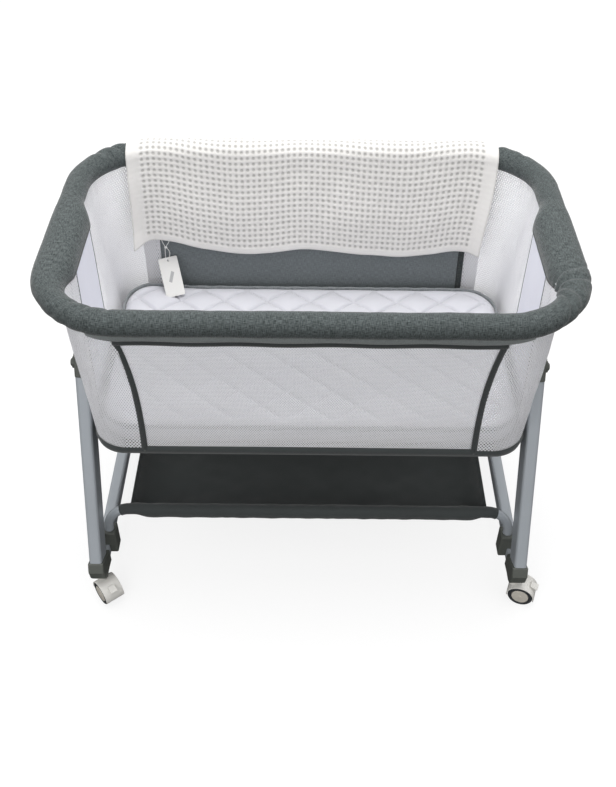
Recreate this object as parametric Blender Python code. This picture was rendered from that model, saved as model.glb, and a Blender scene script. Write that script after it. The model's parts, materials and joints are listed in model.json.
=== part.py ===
"""Bassinet on a rolling, height-adjustable stand, in metres, +Z up.

The origin is on the floor under the middle of the object. +X is to the right and -Y is the front,
the side with the see-through panel that unzips. A left part lies at -X and a right part at +X.
"""

import math

import bmesh
import bpy
from mathutils import Vector

# Bed: rim, shell and base
RIM_LENGTH = 0.930
RIM_WIDTH = 0.580
RIM_HEIGHT = 0.710  # middle of the rim tube above the floor, at the lowest setting
PAD_DIAMETER = 0.044
RIM_TUBE_DIAMETER = 0.020
RIM_TUBE_WALL = 0.0012
RIM_CORNER_RADIUS = 0.135
BASE_HEIGHT = 0.380  # top of the fabric-bound edge that the mattress stands in
SHELL_INSET = 0.065  # how far the shell's ends stand inside the rim's
BASE_WIDTH = 0.444
BASE_CORNER_RADIUS = 0.082
BINDING_HEIGHT = 0.018
BINDING_WALL = 0.008
BOARD_THICKNESS = 0.012
MATTRESS_THICKNESS = 0.053
MATTRESS_SIDE_GAP = 0.003
FABRIC = 0.002  # thickness of the mesh and fabric walls
WALL_TOP_INSET = 0.0315  # how far the long walls meet the rim inside its outer edge
SKIRT_DROP = 0.024
ZIP_WIDTH = 0.010
ZIP_INSET = 0.095  # from the shell's end to the zip's outer edge
BACK_INSET = 0.085  # from the shell's end to the edge of the back panel

# Hub, where the bed hangs on its legs
HUB_Y = -0.009
HUB_HEIGHT = 0.700
HUB_RADIUS = 0.024
HUB_PLATE = 0.0233
HUB_FLOOR = 0.004  # wall left behind the pin
HUB_CLEARANCE = 0.0007  # between the hub and the leg's head
HUB_BLOCK_LENGTH = 0.050
HUB_BLOCK_HEIGHT = 0.025
SPIGOT_LENGTH = 0.028
PIN_DIAMETER = 0.008
PIN_HEAD_DIAMETER = 0.014
PIN_HEAD = 0.003
COVER_OVER_CORNER = 0.022  # how far the soft hub cover runs on past the start of the front corner
COVER_FRONT = RIM_WIDTH / 2 - PAD_DIAMETER / 2 - RIM_CORNER_RADIUS + HUB_Y + COVER_OVER_CORNER
COVER_BACK = 0.049
COVER_REACH = 0.0225  # from the middle of the leg to the cover's inner face
COVER_WALL = 0.0035
COVER_DROP = 0.038
COVER_EDGE = 0.010

# Legs
LEG_LEAN = math.radians(23.8)
LEG_OFFSET = 0.0235  # middle of the leg inside the middle of the rim's tube
LEG_THICKNESS = 0.025
LEG_WIDTH = 0.050
LEG_WALL = 0.0015
LEG_LENGTH = 0.646  # from the hub to the lower end of the outer tube
OUTER_LEG_LENGTH = 0.387
INNER_LEG_SIDE_PLAY = 0.0015
INNER_LEG_EDGE_PLAY = 0.002
INNER_LEG_THICKNESS = LEG_THICKNESS - 2 * (LEG_WALL + INNER_LEG_SIDE_PLAY)
INNER_LEG_WIDTH = LEG_WIDTH - 2 * (LEG_WALL + INNER_LEG_EDGE_PLAY)
INNER_LEG_WALL = 0.0012
INNER_LEG_IN_OUTER = 0.200
HEAD_RADIUS = 0.023
HEAD_NECK = 0.040
PLUG_LENGTH = 0.030  # how far a plastic part's plug reaches into its tube
PLUG_ROOT = 0.010  # how far a plug starts inside its own part
COLLAR_LENGTH = 0.044
COLLAR_GROWTH = 0.001  # the collar stands this far proud of the outer tube all round
COLLAR_SKIRT = 0.020
BUTTON_DIAMETER = 0.014
BUTTON_LENGTH = 0.006
BUTTON_TRAVEL = 0.0035
BOSS_DIAMETER = 0.022
BOSS_HEIGHT = 0.006

# Base bars, feet and casters
BAR_HEIGHT = 0.030
BAR_BOTTOM = 0.057
BAR_FRONT_Y = -0.2345
BAR_BACK_Y = 0.262
BAR_WALL = 0.0015
FOOT_WIDTH = 0.031
REAR_FOOT_LENGTH = 0.062
GLIDE_THICKNESS = 0.006
STEM_Y = -0.270
STEM_DIAMETER = 0.010
STEM_LENGTH = 0.022
STEM_BOSS_DIAMETER = 0.016
CASTER_TRAIL = 0.020
WHEEL_DIAMETER = 0.050
WHEEL_HEADROOM = 0.010  # between the wheel's top and the foot above it
FOOT_BOTTOM = WHEEL_DIAMETER + WHEEL_HEADROOM
WHEEL_WIDTH = 0.0125
WHEEL_BEVEL = 0.002
WEB_THICKNESS = 0.008
HOOD_WIDTH = 0.040
HOOD_WALL = 0.0023
HOOD_CLEARANCE = 0.0012
HOOD_SKIRT = math.radians(9)  # how far the hood reaches below the axle's height
AXLE_DIAMETER = 0.006
AXLE_BORE_DEPTH = 0.008  # how far each wheel takes the axle
LEVER_LENGTH = 0.015
LEVER_HEEL = 0.001  # how far the lever reaches behind its hinge
LEVER_THICKNESS = 0.003
LEVER_WIDTH = 0.015
LEVER_LIFT = math.radians(14)
LEVER_PLACE = math.radians(58)  # where on the hood the lever hinges, above the horizontal
CASTER_TURN = {"left": math.radians(-51), "right": math.radians(-20)}  # way each wheel trails, from +X

# Storage basket
BASKET_TUBE_DIAMETER = 0.019
BASKET_TUBE_WALL = 0.0012
BASKET_TUBE_INSET = 0.0145  # the basket's tubes stand this far inside the legs
BASKET_TUBE_Y = 0.205  # where each tube stands in its sockets
BASKET_RAIL_Y = 0.195
BASKET_RAIL_HEIGHT = 0.172
BASKET_BEND_RADIUS = 0.045
BASKET_END_GAP = 0.0575  # from the middle of the leg to the basket's end
BASKET_WIDTH = 0.395
BASKET_DEPTH = 0.044
BASKET_WALL = 0.003
BASKET_CORNER_RADIUS = 0.020
SOCKET_TOP = 0.122
SOCKET_BOTTOM = 0.063
SOCKET_LENGTH = 0.032
SOCKET_REACH = 0.0285  # from the middle of the leg to the socket's inner face
SOCKET_SIDE_WALL = 0.0033
SOCKET_DEPTH = 0.026

# Blanket and its tag
BLANKET_WIDTH = 0.720
BLANKET_THICKNESS = 0.004
BLANKET_LIFT = 0.0015  # how far it stands off the rail where it bends over it
BLANKET_FRONT_HEM = 0.536
BLANKET_BACK_HEM = 0.262
TAG_WIDTH = 0.040
TAG_LENGTH = 0.084
TAG_CORNER_RADIUS = 0.003
TAG_THICKNESS = 0.0008
TAG_HOLE = 0.0045
TAG_TOP = Vector((-0.3015, 0.2215, 0.4895))
TAG_LEAN = math.radians(47)  # how far its lower end comes forward
TAG_SWING = math.radians(-14)  # turned in its own plane, lower end to the right
STRING_DIAMETER = 0.0014
STRING_POINTS = [
    (-0.3085, 0.2195, 0.5350),
    (-0.3082, 0.2208, 0.5300),
    (-0.3065, 0.2218, 0.5240),
    (-0.3046, 0.2225, 0.5185),
    (-0.3040, 0.2228, 0.5140),
    (-0.3043, 0.2231, 0.5080),
    (-0.3048, 0.2234, 0.5010),
    (-0.3050, 0.2235, 0.4945),
    (-0.3049, 0.2228, 0.4885),
    (-0.3047, 0.2199, 0.4856),
    (-0.3036, 0.2178, 0.4838),
    (-0.3015, 0.2168, 0.4829),
    (-0.2994, 0.2178, 0.4838),
    (-0.2983, 0.2199, 0.4856),
    (-0.2975, 0.2228, 0.4885),
    (-0.2960, 0.2238, 0.4950),
    (-0.2955, 0.2236, 0.5010),
    (-0.2975, 0.2232, 0.5075),
    (-0.3008, 0.2229, 0.5135),
    (-0.3000, 0.2225, 0.5190),
    (-0.2965, 0.2218, 0.5245),
    (-0.2940, 0.2208, 0.5300),
    (-0.2937, 0.2195, 0.5350),
]

GAP = 0.0003  # between pieces that touch
SLIDE_GAP = 0.0005  # round what slides or turns
OVERLAP = 0.002  # how far joined shapes run into each other
SIDES = 16
TUBE_RESOLUTION = 4  # gives a bent tube 12 sides
TUBE_FLAT = math.cos(math.pi / (4 + 2 * TUBE_RESOLUTION))  # how near its flats come to its middle
CORNER_STEPS = 5

SIDE_SIGNS = {"left": -1, "right": 1}

# What follows from the sizes above
SHELL_LENGTH = RIM_LENGTH - 2 * SHELL_INSET
LEG_X = RIM_LENGTH / 2 - (PAD_DIAMETER / 2 + LEG_OFFSET)
ZIP_X = SHELL_LENGTH / 2 - ZIP_INSET
BACK_X = SHELL_LENGTH / 2 - BACK_INSET
BASKET_TUBE_X = LEG_X - BASKET_TUBE_INSET
BASKET_LENGTH = 2 * (LEG_X - BASKET_END_GAP)

MATERIALS = {
    "light_tube": ((0.42, 0.45, 0.48), 0.35, 0.6),
    "dark_steel": ((0.20, 0.21, 0.21), 0.4, 0.8),
    "grey_plastic": ((0.13, 0.14, 0.13), 0.5, 0.0),
    "light_plastic": ((0.66, 0.65, 0.62), 0.4, 0.0),
    "rubber": ((0.04, 0.04, 0.04), 0.8, 0.0),
    "grey_fabric": ((0.10, 0.11, 0.11), 0.9, 0.0),
    "white_mesh": ((0.66, 0.67, 0.68), 0.9, 0.0),
    "dark_fabric": ((0.025, 0.03, 0.028), 0.9, 0.0),
    "mattress_fabric": ((0.68, 0.68, 0.71), 0.9, 0.0),
    "waffle_cotton": ((0.66, 0.65, 0.64), 0.9, 0.0),
    "card": ((0.75, 0.74, 0.73), 0.6, 0.0),
}


def clear_scene():
    """Removes what the scene holds."""
    for thing in list(bpy.data.objects):
        bpy.data.objects.remove(thing)


def make_material(name):
    """The Principled material of that name."""
    material = bpy.data.materials.get(name)
    if material:
        return material
    color, roughness, metallic = MATERIALS[name]
    material = bpy.data.materials.new(name)
    material.use_nodes = True
    shader = material.node_tree.nodes["Principled BSDF"]
    shader.inputs["Base Color"].default_value = (*color, 1)
    shader.inputs["Roughness"].default_value = roughness
    shader.inputs["Metallic"].default_value = metallic
    material.diffuse_color = (*color, 1)
    return material


def add_object(name, data, parent, material):
    """An object in the scene, under its parent, with its material."""
    made = bpy.data.objects.new(name, data)
    bpy.context.scene.collection.objects.link(made)
    made.parent = parent
    if material:
        data.materials.append(make_material(material))
    return made


def add_empty(name, location=(0, 0, 0), rotation=(0, 0, 0), parent=None):
    """A joint axis or a frame to build in."""
    made = bpy.data.objects.new(name, None)
    bpy.context.scene.collection.objects.link(made)
    made.location = location
    made.rotation_euler = rotation
    made.parent = parent
    return made


def finish_mesh(name, shape, parent, material, bevel=0.0):
    """Turns a bmesh into an object, shaded smooth, with its edges rounded by bevel."""
    bmesh.ops.recalc_face_normals(shape, faces=shape.faces)
    mesh = bpy.data.meshes.new(name)
    shape.to_mesh(mesh)
    shape.free()
    mesh.shade_smooth()
    mesh.set_sharp_from_angle(angle=math.radians(35))
    made = add_object(name, mesh, parent, material)
    if bevel:
        rounding = made.modifiers.new("Rounding", "BEVEL")
        rounding.width = bevel
        rounding.segments = 2
        rounding.limit_method = "ANGLE"
        rounding.angle_limit = math.radians(50)
    return made


def rounded_rectangle(half_x, half_y, radius, steps=CORNER_STEPS):
    """Outline points, anticlockwise, of a rectangle with round corners."""
    centres = ((1, 1), (-1, 1), (-1, -1), (1, -1))
    points = []
    for quarter, (sign_x, sign_y) in enumerate(centres):
        for step in range(steps + 1):
            angle = math.radians(90) * (quarter + step / steps)
            x = sign_x * (half_x - radius) + radius * math.cos(angle)
            y = sign_y * (half_y - radius) + radius * math.sin(angle)
            points.append((x, y))
    return points


def outward(sign, start, end):
    """The ends of a span along X, lowest first, that runs outwards on the side with that sign."""
    return sorted((sign * start, sign * end))


def rectangle(low_x, low_y, high_x, high_y):
    """Outline points of a plain rectangle."""
    return [(low_x, low_y), (high_x, low_y), (high_x, high_y), (low_x, high_y)]


def prism(name, outline, low, high, parent=None, material=None, bevel=0.0, axis="Z"):
    """The outline extruded along an axis. Along X it is drawn in Y and Z, along Y in X and Z."""
    place = {
        "X": lambda a, b: (low, a, b),
        "Y": lambda a, b: (a, low, b),
        "Z": lambda a, b: (a, b, low),
    }[axis]
    shift = {"X": (high - low, 0, 0), "Y": (0, high - low, 0), "Z": (0, 0, high - low)}[axis]
    shape = bmesh.new()
    face = shape.faces.new([shape.verts.new(place(*point)) for point in outline])
    grown = bmesh.ops.extrude_face_region(shape, geom=[face], use_keep_orig=True)
    raised = [part for part in grown["geom"] if isinstance(part, bmesh.types.BMVert)]
    bmesh.ops.translate(shape, vec=shift, verts=raised)
    return finish_mesh(name, shape, parent, material, bevel)


def cylinder(
    name, radius, low, high, centre=(0, 0), axis="Z", parent=None, material=None, bevel=0.0, sides=SIDES
):
    """A round bar along an axis through centre, given in the other two axes."""
    outline = [
        (
            centre[0] + radius * math.cos(math.tau * step / sides),
            centre[1] + radius * math.sin(math.tau * step / sides),
        )
        for step in range(sides)
    ]
    return prism(name, outline, low, high, parent, material, bevel, axis)


def sheet_through(name, rows, thickness, parent, material, closed=False):
    """A sheet through rows of points, thickened to the back of its faces. A closed one joins its rows' ends."""
    shape = bmesh.new()
    lines = [[shape.verts.new(point) for point in row] for row in rows]
    count = len(rows[0])
    for lower, upper in zip(lines, lines[1:]):
        for here in range(count if closed else count - 1):
            there = (here + 1) % count
            shape.faces.new((lower[here], lower[there], upper[there], upper[here]))
    mesh = bpy.data.meshes.new(name)
    shape.to_mesh(mesh)
    shape.free()
    made = add_object(name, mesh, parent, material)
    thicken = made.modifiers.new("Thickness", "SOLIDIFY")
    thicken.thickness = thickness
    thicken.offset = -1
    thicken.use_even_offset = True
    return made


def wall_between(name, lower, upper, thickness, parent, material, closed=False):
    """A sheet from a lower line of points to an upper one, thickened inwards from them."""
    return sheet_through(name, [lower, upper], thickness, parent, material, closed)


def hollow_bar(name, half_x, half_y, radius, low, high, wall, parent, material):
    """A straight upright tube with a rounded rectangular section, open at both ends."""
    outline = rounded_rectangle(half_x, half_y, radius, 3)
    rows = [[(x, y, z) for x, y in outline] for z in (low, high)]
    return wall_between(name, rows[0], rows[1], wall, parent, material, closed=True)


def bent_tube(name, points, diameter, wall, parent, material, resolution=TUBE_RESOLUTION):
    """A round tube that follows points, open at both ends, or with wall None a solid one."""
    curve = bpy.data.curves.new(name, "CURVE")
    curve.dimensions = "3D"
    curve.bevel_depth = diameter / 2
    curve.bevel_resolution = resolution
    curve.use_fill_caps = wall is None
    spline = curve.splines.new("POLY")
    spline.points.add(len(points) - 1)
    for place, point in zip(spline.points, points):
        place.co = (*point, 1)
    made = add_object(name, curve, parent, material)
    if wall is not None:
        thicken = made.modifiers.new("Thickness", "SOLIDIFY")
        thicken.thickness = wall
        thicken.offset = -1
        thicken.use_even_offset = True
    return made


def combine(target, other, operation):
    """Joins other to target, or cuts it out, by a Boolean modifier, and hides it."""
    change = target.modifiers.new(operation.title(), "BOOLEAN")
    change.operation = operation
    change.object = other
    change.solver = "EXACT"
    other.hide_render = True
    other.display_type = "WIRE"
    return target


def arc(centre, radius, start, end, steps):
    """Points on a level arc, from the start angle to the end angle, in degrees."""
    points = []
    for step in range(steps + 1):
        angle = math.radians(start + (end - start) * step / steps)
        across, along = radius * math.cos(angle), radius * math.sin(angle)
        points.append((centre[0] + across, centre[1] + along, centre[2]))
    return points


def smooth_line(points, spacing):
    """Points at about that spacing on a smooth curve through the given points."""
    given = [Vector(point) for point in points]
    ends = [2 * given[0] - given[1], *given, 2 * given[-1] - given[-2]]
    made = []
    for here in range(1, len(ends) - 2):
        before, start, end, after = ends[here - 1 : here + 3]
        steps = max(1, round((end - start).length / spacing))
        for step in range(steps):
            t = step / steps
            bend = 2 * before - 5 * start + 4 * end - after
            twist = 3 * start - before - 3 * end + after
            made.append((2 * start + (end - before) * t + bend * t * t + twist * t**3) / 2)
    return [*made, given[-1]]


def add_rim():
    """The two bent rim tubes and the padded sleeves on them."""
    end_x = RIM_LENGTH / 2 - PAD_DIAMETER / 2
    side_y = RIM_WIDTH / 2 - PAD_DIAMETER / 2
    corner_x, corner_y = end_x - RIM_CORNER_RADIUS, side_y - RIM_CORNER_RADIUS
    hub_ends = {
        "front": HUB_Y - HUB_BLOCK_LENGTH / 2 - GAP,
        "rear": HUB_Y + HUB_BLOCK_LENGTH / 2 + GAP,
    }
    cover_ends = {"front": HUB_Y - COVER_FRONT, "rear": HUB_Y + COVER_BACK}
    for half, sign in (("front", -1), ("rear", 1)):
        right = arc((corner_x, sign * corner_y, RIM_HEIGHT), RIM_CORNER_RADIUS, 0, sign * 90, 8)
        left = [(-x, y, z) for x, y, z in reversed(right)]
        start = hub_ends[half]
        tube = [(end_x, start, RIM_HEIGHT), *right, *left, (-end_x, start, RIM_HEIGHT)]
        bent_tube(f"rim_tube_{half}", tube, RIM_TUBE_DIAMETER, RIM_TUBE_WALL, None, "dark_steel")
        # The sleeve starts past the hub cover, by more where the rim is already turning its corner.
        start = cover_ends[half] + sign * GAP
        past = [point for point in right if abs(point[1]) > abs(start)]
        turn = abs(start) - corner_y
        if turn > 0:
            turned = math.asin(turn / RIM_CORNER_RADIUS)
            angle = sign * (turned + math.sin(turned) * PAD_DIAMETER / 2 / RIM_CORNER_RADIUS)
            first = (
                corner_x + RIM_CORNER_RADIUS * math.cos(angle),
                sign * corner_y + RIM_CORNER_RADIUS * math.sin(angle),
                RIM_HEIGHT,
            )
            past = [point for point in right if abs(point[1]) > abs(first[1]) + 0.005]
        else:
            first = (end_x, start, RIM_HEIGHT)
        half_sleeve = [first, *past]
        sleeve = [*half_sleeve, *[(-x, y, z) for x, y, z in reversed(half_sleeve)]]
        padding = PAD_DIAMETER / 2 - (RIM_TUBE_DIAMETER / 2 + GAP) / TUBE_FLAT
        bent_tube(f"rim_pad_{half}", sleeve, PAD_DIAMETER, padding, None, "grey_fabric")


def add_hubs(side, sign, fold_axis):
    """The hub that joins the rim's halves, its pin, and the soft cover over both."""
    rim_x = RIM_LENGTH / 2 - PAD_DIAMETER / 2
    above = RIM_HEIGHT - HUB_HEIGHT
    half_leg = LEG_THICKNESS / 2
    start = half_leg + HUB_CLEARANCE
    end = start + HUB_PLATE
    plate = outward(sign, start, end)
    half_length, half_height = HUB_BLOCK_LENGTH / 2, HUB_BLOCK_HEIGHT / 2
    block = rectangle(-half_length, above - half_height, half_length, above + half_height)
    hub = prism(f"rim_hub_{side}", block, *plate, fold_axis, "grey_plastic", 0.0015, "X")
    disc_ends = outward(sign, start + GAP, end - GAP)
    disc = cylinder(f"hub_disc_{side}", HUB_RADIUS, *disc_ends, (0, 0), "X", fold_axis, None, 0.0, 24)
    combine(hub, disc, "UNION")
    spigot_radius = (RIM_TUBE_DIAMETER / 2 - RIM_TUBE_WALL) * TUBE_FLAT - GAP
    reach = half_length + SPIGOT_LENGTH
    place = (sign * (rim_x - LEG_X), above)
    spigot = cylinder(f"hub_spigot_{side}", spigot_radius, -reach, reach, place, "Y", fold_axis)
    combine(hub, spigot, "UNION")
    pin_radius = PIN_DIAMETER / 2
    bore_end = end - HUB_FLOOR
    bore_ends = outward(sign, 0, bore_end)
    bore = cylinder(f"hub_bore_{side}", pin_radius + SLIDE_GAP, *bore_ends, (0, 0), "X", fold_axis)
    combine(hub, bore, "DIFFERENCE")
    head_face = half_leg + GAP
    pin_ends = outward(sign, -head_face - PIN_HEAD / 2, bore_end - SLIDE_GAP)
    pin = cylinder(f"hub_pin_{side}", pin_radius, *pin_ends, (0, 0), "X", fold_axis, "dark_steel")
    head_ends = outward(sign, -head_face - PIN_HEAD, -head_face)
    head = cylinder(f"pin_head_{side}", PIN_HEAD_DIAMETER / 2, *head_ends, (0, 0), "X", fold_axis)
    combine(pin, head, "UNION")
    add_hub_cover(side, sign, rim_x, above, fold_axis)


def add_hub_cover(side, sign, rim_x, above, fold_axis):
    """A soft inverted trough that hides the hub and leaves the leg free to swing below it."""
    outer_x = sign * (rim_x - LEG_X + PAD_DIAMETER / 2 + OVERLAP)
    low, high = sorted((outer_x, -sign * COVER_REACH))
    top = above + PAD_DIAMETER / 2
    bottom = top - COVER_DROP
    edge = COVER_EDGE
    outline = [
        (low, bottom),
        (low, top - edge),
        (low + edge * 0.3, top - edge * 0.3),
        (low + edge, top),
        (high - edge, top),
        (high - edge * 0.3, top - edge * 0.3),
        (high, top - edge),
        (high, bottom),
        (high - COVER_WALL, bottom),
        (high - COVER_WALL, top - edge),
        (high - edge, top - COVER_WALL),
        (low + edge, top - COVER_WALL),
        (low + COVER_WALL, top - edge),
        (low + COVER_WALL, bottom),
    ]
    prism(f"hub_cover_{side}", outline, -COVER_FRONT, COVER_BACK, fold_axis, "grey_fabric", 0.0, "Y")


def shell_outline(half_x, half_y, radius, height):
    """The front right quarter of the shell's plan, from the front's middle to the end's middle."""
    corner = arc((half_x - radius, -half_y + radius, height), radius, -90, 0, 6)
    return [(0, -half_y, height), *corner, (half_x, 0, height)]


def wall_y(height):
    """How far the long walls stand from the middle at that height."""
    low, high = BASE_HEIGHT + GAP, RIM_HEIGHT - PAD_DIAMETER / 2 - GAP
    share = (height - low) / (high - low)
    half_low = BASE_WIDTH / 2 - FABRIC / 2
    return half_low + share * ((RIM_WIDTH / 2 - WALL_TOP_INSET) - half_low)


def add_shell():
    """Mesh ends, zips, skirt and back panel, each a thin wall that leans out towards the rim."""
    low, high = BASE_HEIGHT + GAP, RIM_HEIGHT - PAD_DIAMETER / 2
    half_x = SHELL_LENGTH / 2
    levels = (
        (low, wall_y(low), BASE_CORNER_RADIUS),
        (high, wall_y(high), BASE_CORNER_RADIUS),
    )
    for side, sign in SIDE_SIGNS.items():
        rows = []
        for height, half_y, radius in levels:
            quarter = shell_outline(half_x, half_y, radius, height)[1:-1]
            front = [(ZIP_X + GAP, -half_y, height), *quarter]
            rear = [(x, -y, z) for x, y, z in reversed(quarter)]
            row = [*front, *rear, (BACK_X + GAP, half_y, height)]
            rows.append([(sign * x, y, z) for x, y, z in row])
        if sign < 0:
            rows = [list(reversed(row)) for row in rows]
        wall_between(f"mesh_end_{side}", rows[0], rows[1], FABRIC, None, "white_mesh")
        tape = []
        tape_ends = sorted((sign * (ZIP_X - ZIP_WIDTH), sign * ZIP_X))
        for height, half_y, _ in levels:
            tape.append([(x, -half_y, height) for x in tape_ends])
        wall_between(f"zip_tape_{side}", tape[0], tape[1], FABRIC, None, "dark_fabric")
    back = [[(BACK_X, y, z), (-BACK_X, y, z)] for z, y, _ in levels]
    wall_between("back_panel", back[0], back[1], FABRIC, None, "grey_fabric")
    half_front = ZIP_X - ZIP_WIDTH - GAP
    skirt_levels = (high - SKIRT_DROP + GAP, high)
    skirt = [[(-half_front, -wall_y(z), z), (half_front, -wall_y(z), z)] for z in skirt_levels]
    wall_between("front_skirt", skirt[0], skirt[1], FABRIC, None, "grey_fabric")
    return half_front, high - SKIRT_DROP


def add_front_panel(half_width, top):
    """The see-through panel that unzips and folds down about its lower edge."""
    bottom = BASE_HEIGHT + GAP
    hinge = Vector((0, -BASE_WIDTH / 2 - FABRIC / 2, bottom))
    axis = add_empty("front_panel_axis", hinge)
    levels = (bottom + GAP, top)
    rows = [[(-half_width, -wall_y(z), z), (half_width, -wall_y(z), z)] for z in levels]
    local = [[tuple(Vector(point) - hinge) for point in row] for row in rows]
    wall_between("front_mesh_panel", local[0], local[1], FABRIC, axis, "white_mesh")


def add_base():
    """The board, its fabric binding and the mattress."""
    outer = rounded_rectangle(SHELL_LENGTH / 2, BASE_WIDTH / 2, BASE_CORNER_RADIUS, 6)
    low = BASE_HEIGHT - BINDING_HEIGHT
    lower = [(x, y, low) for x, y in outer]
    upper = [(x, y, BASE_HEIGHT) for x, y in outer]
    wall_between("base_binding", lower, upper, BINDING_WALL, None, "dark_fabric", closed=True)
    inset = BINDING_WALL + GAP
    board = rounded_rectangle(
        SHELL_LENGTH / 2 - inset, BASE_WIDTH / 2 - inset, BASE_CORNER_RADIUS - inset, 6
    )
    board_top = low + GAP + BOARD_THICKNESS
    prism("base_board", board, low + GAP, board_top, None, "grey_fabric")
    inset += MATTRESS_SIDE_GAP
    mattress = rounded_rectangle(
        SHELL_LENGTH / 2 - inset, BASE_WIDTH / 2 - inset, BASE_CORNER_RADIUS - inset, 6
    )
    bottom = board_top + GAP
    prism("mattress", mattress, bottom, bottom + MATTRESS_THICKNESS, None, "mattress_fabric", 0.008)


def rim_y(x):
    """(how far the rim's centreline stands from the middle at that x, how much it has turned there)."""
    corner_x = RIM_LENGTH / 2 - PAD_DIAMETER / 2 - RIM_CORNER_RADIUS
    side_y = RIM_WIDTH / 2 - PAD_DIAMETER / 2
    turn = math.asin(min(1, max(0, abs(x) - corner_x) / RIM_CORNER_RADIUS))
    return side_y - RIM_CORNER_RADIUS * (1 - math.cos(turn)), turn


def add_blanket():
    """A blanket laid over the rear rail, hanging inside along the back panel and free behind it."""
    radius = PAD_DIAMETER / 2 + BLANKET_LIFT + BLANKET_THICKNESS
    lean = (wall_y(RIM_HEIGHT) - wall_y(BASE_HEIGHT)) / (RIM_HEIGHT - BASE_HEIGHT)
    half = BLANKET_WIDTH / 2
    corner = RIM_LENGTH / 2 - PAD_DIAMETER / 2 - RIM_CORNER_RADIUS
    ends = [corner + (half - corner) * step / 3 for step in range(4)] if half > corner else [half]
    steps = 8
    rows = []
    for x in [*reversed(ends), *[-end for end in ends]]:
        rail_y, turn = rim_y(x)
        reach = radius / math.cos(turn)
        front = rail_y - reach
        row = [(x, front - lean * (RIM_HEIGHT - BLANKET_FRONT_HEM), BLANKET_FRONT_HEM)]
        for step in range(steps + 1):
            angle = math.pi * (1 - step / steps)
            row.append((x, rail_y + reach * math.cos(angle), RIM_HEIGHT + radius * math.sin(angle)))
        row.append((x, rail_y + reach, BLANKET_BACK_HEM))
        rows.append(row)
    sheet_through("blanket", rows, BLANKET_THICKNESS, None, "waffle_cotton")


def add_tag():
    """The hang tag and its doubled string."""
    frame = add_empty("tag_frame", TAG_TOP, (-TAG_LEAN, TAG_SWING, 0))
    frame.rotation_mode = "YXZ"
    card = rounded_rectangle(TAG_WIDTH / 2, TAG_LENGTH / 2, TAG_CORNER_RADIUS, 2)
    outline = [(x, y - TAG_LENGTH / 2) for x, y in card]
    tag = prism("hang_tag", outline, -TAG_THICKNESS / 2, TAG_THICKNESS / 2, frame, "card", 0.0, "Y")
    hole = cylinder("tag_hole", TAG_HOLE / 2, -0.01, 0.01, (0, -0.007), "Y", frame, None, 0.0, 12)
    combine(tag, hole, "DIFFERENCE")
    points = smooth_line(STRING_POINTS, STRING_DIAMETER * 2.5)
    bent_tube("tag_string", points, STRING_DIAMETER, None, None, "card", 2)


def add_leg(side, sign):
    """Outer and inner leg tubes, the head on the inner one, and the collar with its button."""
    hub = (sign * LEG_X, HUB_Y, HUB_HEIGHT)
    leg = add_empty(f"leg_axis_{side}", hub, (-LEG_LEAN, 0, 0))
    half_x, half_y = LEG_THICKNESS / 2, LEG_WIDTH / 2
    outer_top = -LEG_LENGTH + OUTER_LEG_LENGTH
    hollow_bar(
        f"outer_leg_{side}", half_x, half_y, 0.006, -LEG_LENGTH, outer_top, LEG_WALL, leg, "light_tube"
    )
    inner_x, inner_y = INNER_LEG_THICKNESS / 2, INNER_LEG_WIDTH / 2
    hollow_bar(
        f"inner_leg_{side}", inner_x, inner_y, 0.005, outer_top - INNER_LEG_IN_OUTER, -HEAD_NECK,
        INNER_LEG_WALL, leg, "dark_steel",
    )
    head_half = half_x - GAP
    head = cylinder(
        f"leg_head_{side}", HEAD_RADIUS, -head_half, head_half, (0, 0), "X", leg, "grey_plastic", 0.0, 24
    )
    neck = prism(
        f"head_neck_{side}", rounded_rectangle(inner_x + 0.002, inner_y - 0.001, 0.004, 3),
        -HEAD_NECK + GAP, -HEAD_RADIUS / 3, leg,
    )
    combine(head, neck, "UNION")
    plug_inset = INNER_LEG_WALL + SLIDE_GAP
    plug = prism(
        f"head_plug_{side}", rounded_rectangle(inner_x - plug_inset, inner_y - plug_inset, 0.003, 3),
        -HEAD_NECK - PLUG_LENGTH, -HEAD_NECK + OVERLAP * 2, leg,
    )
    combine(head, plug, "UNION")
    bore_radius, bore_half = PIN_DIAMETER / 2 + SLIDE_GAP, half_x + 0.01
    bore = cylinder(f"head_bore_{side}", bore_radius, -bore_half, bore_half, (0, 0), "X", leg)
    combine(head, bore, "DIFFERENCE")
    add_collar(side, sign, leg, outer_top, (half_x, half_y), (inner_x, inner_y))


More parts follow.
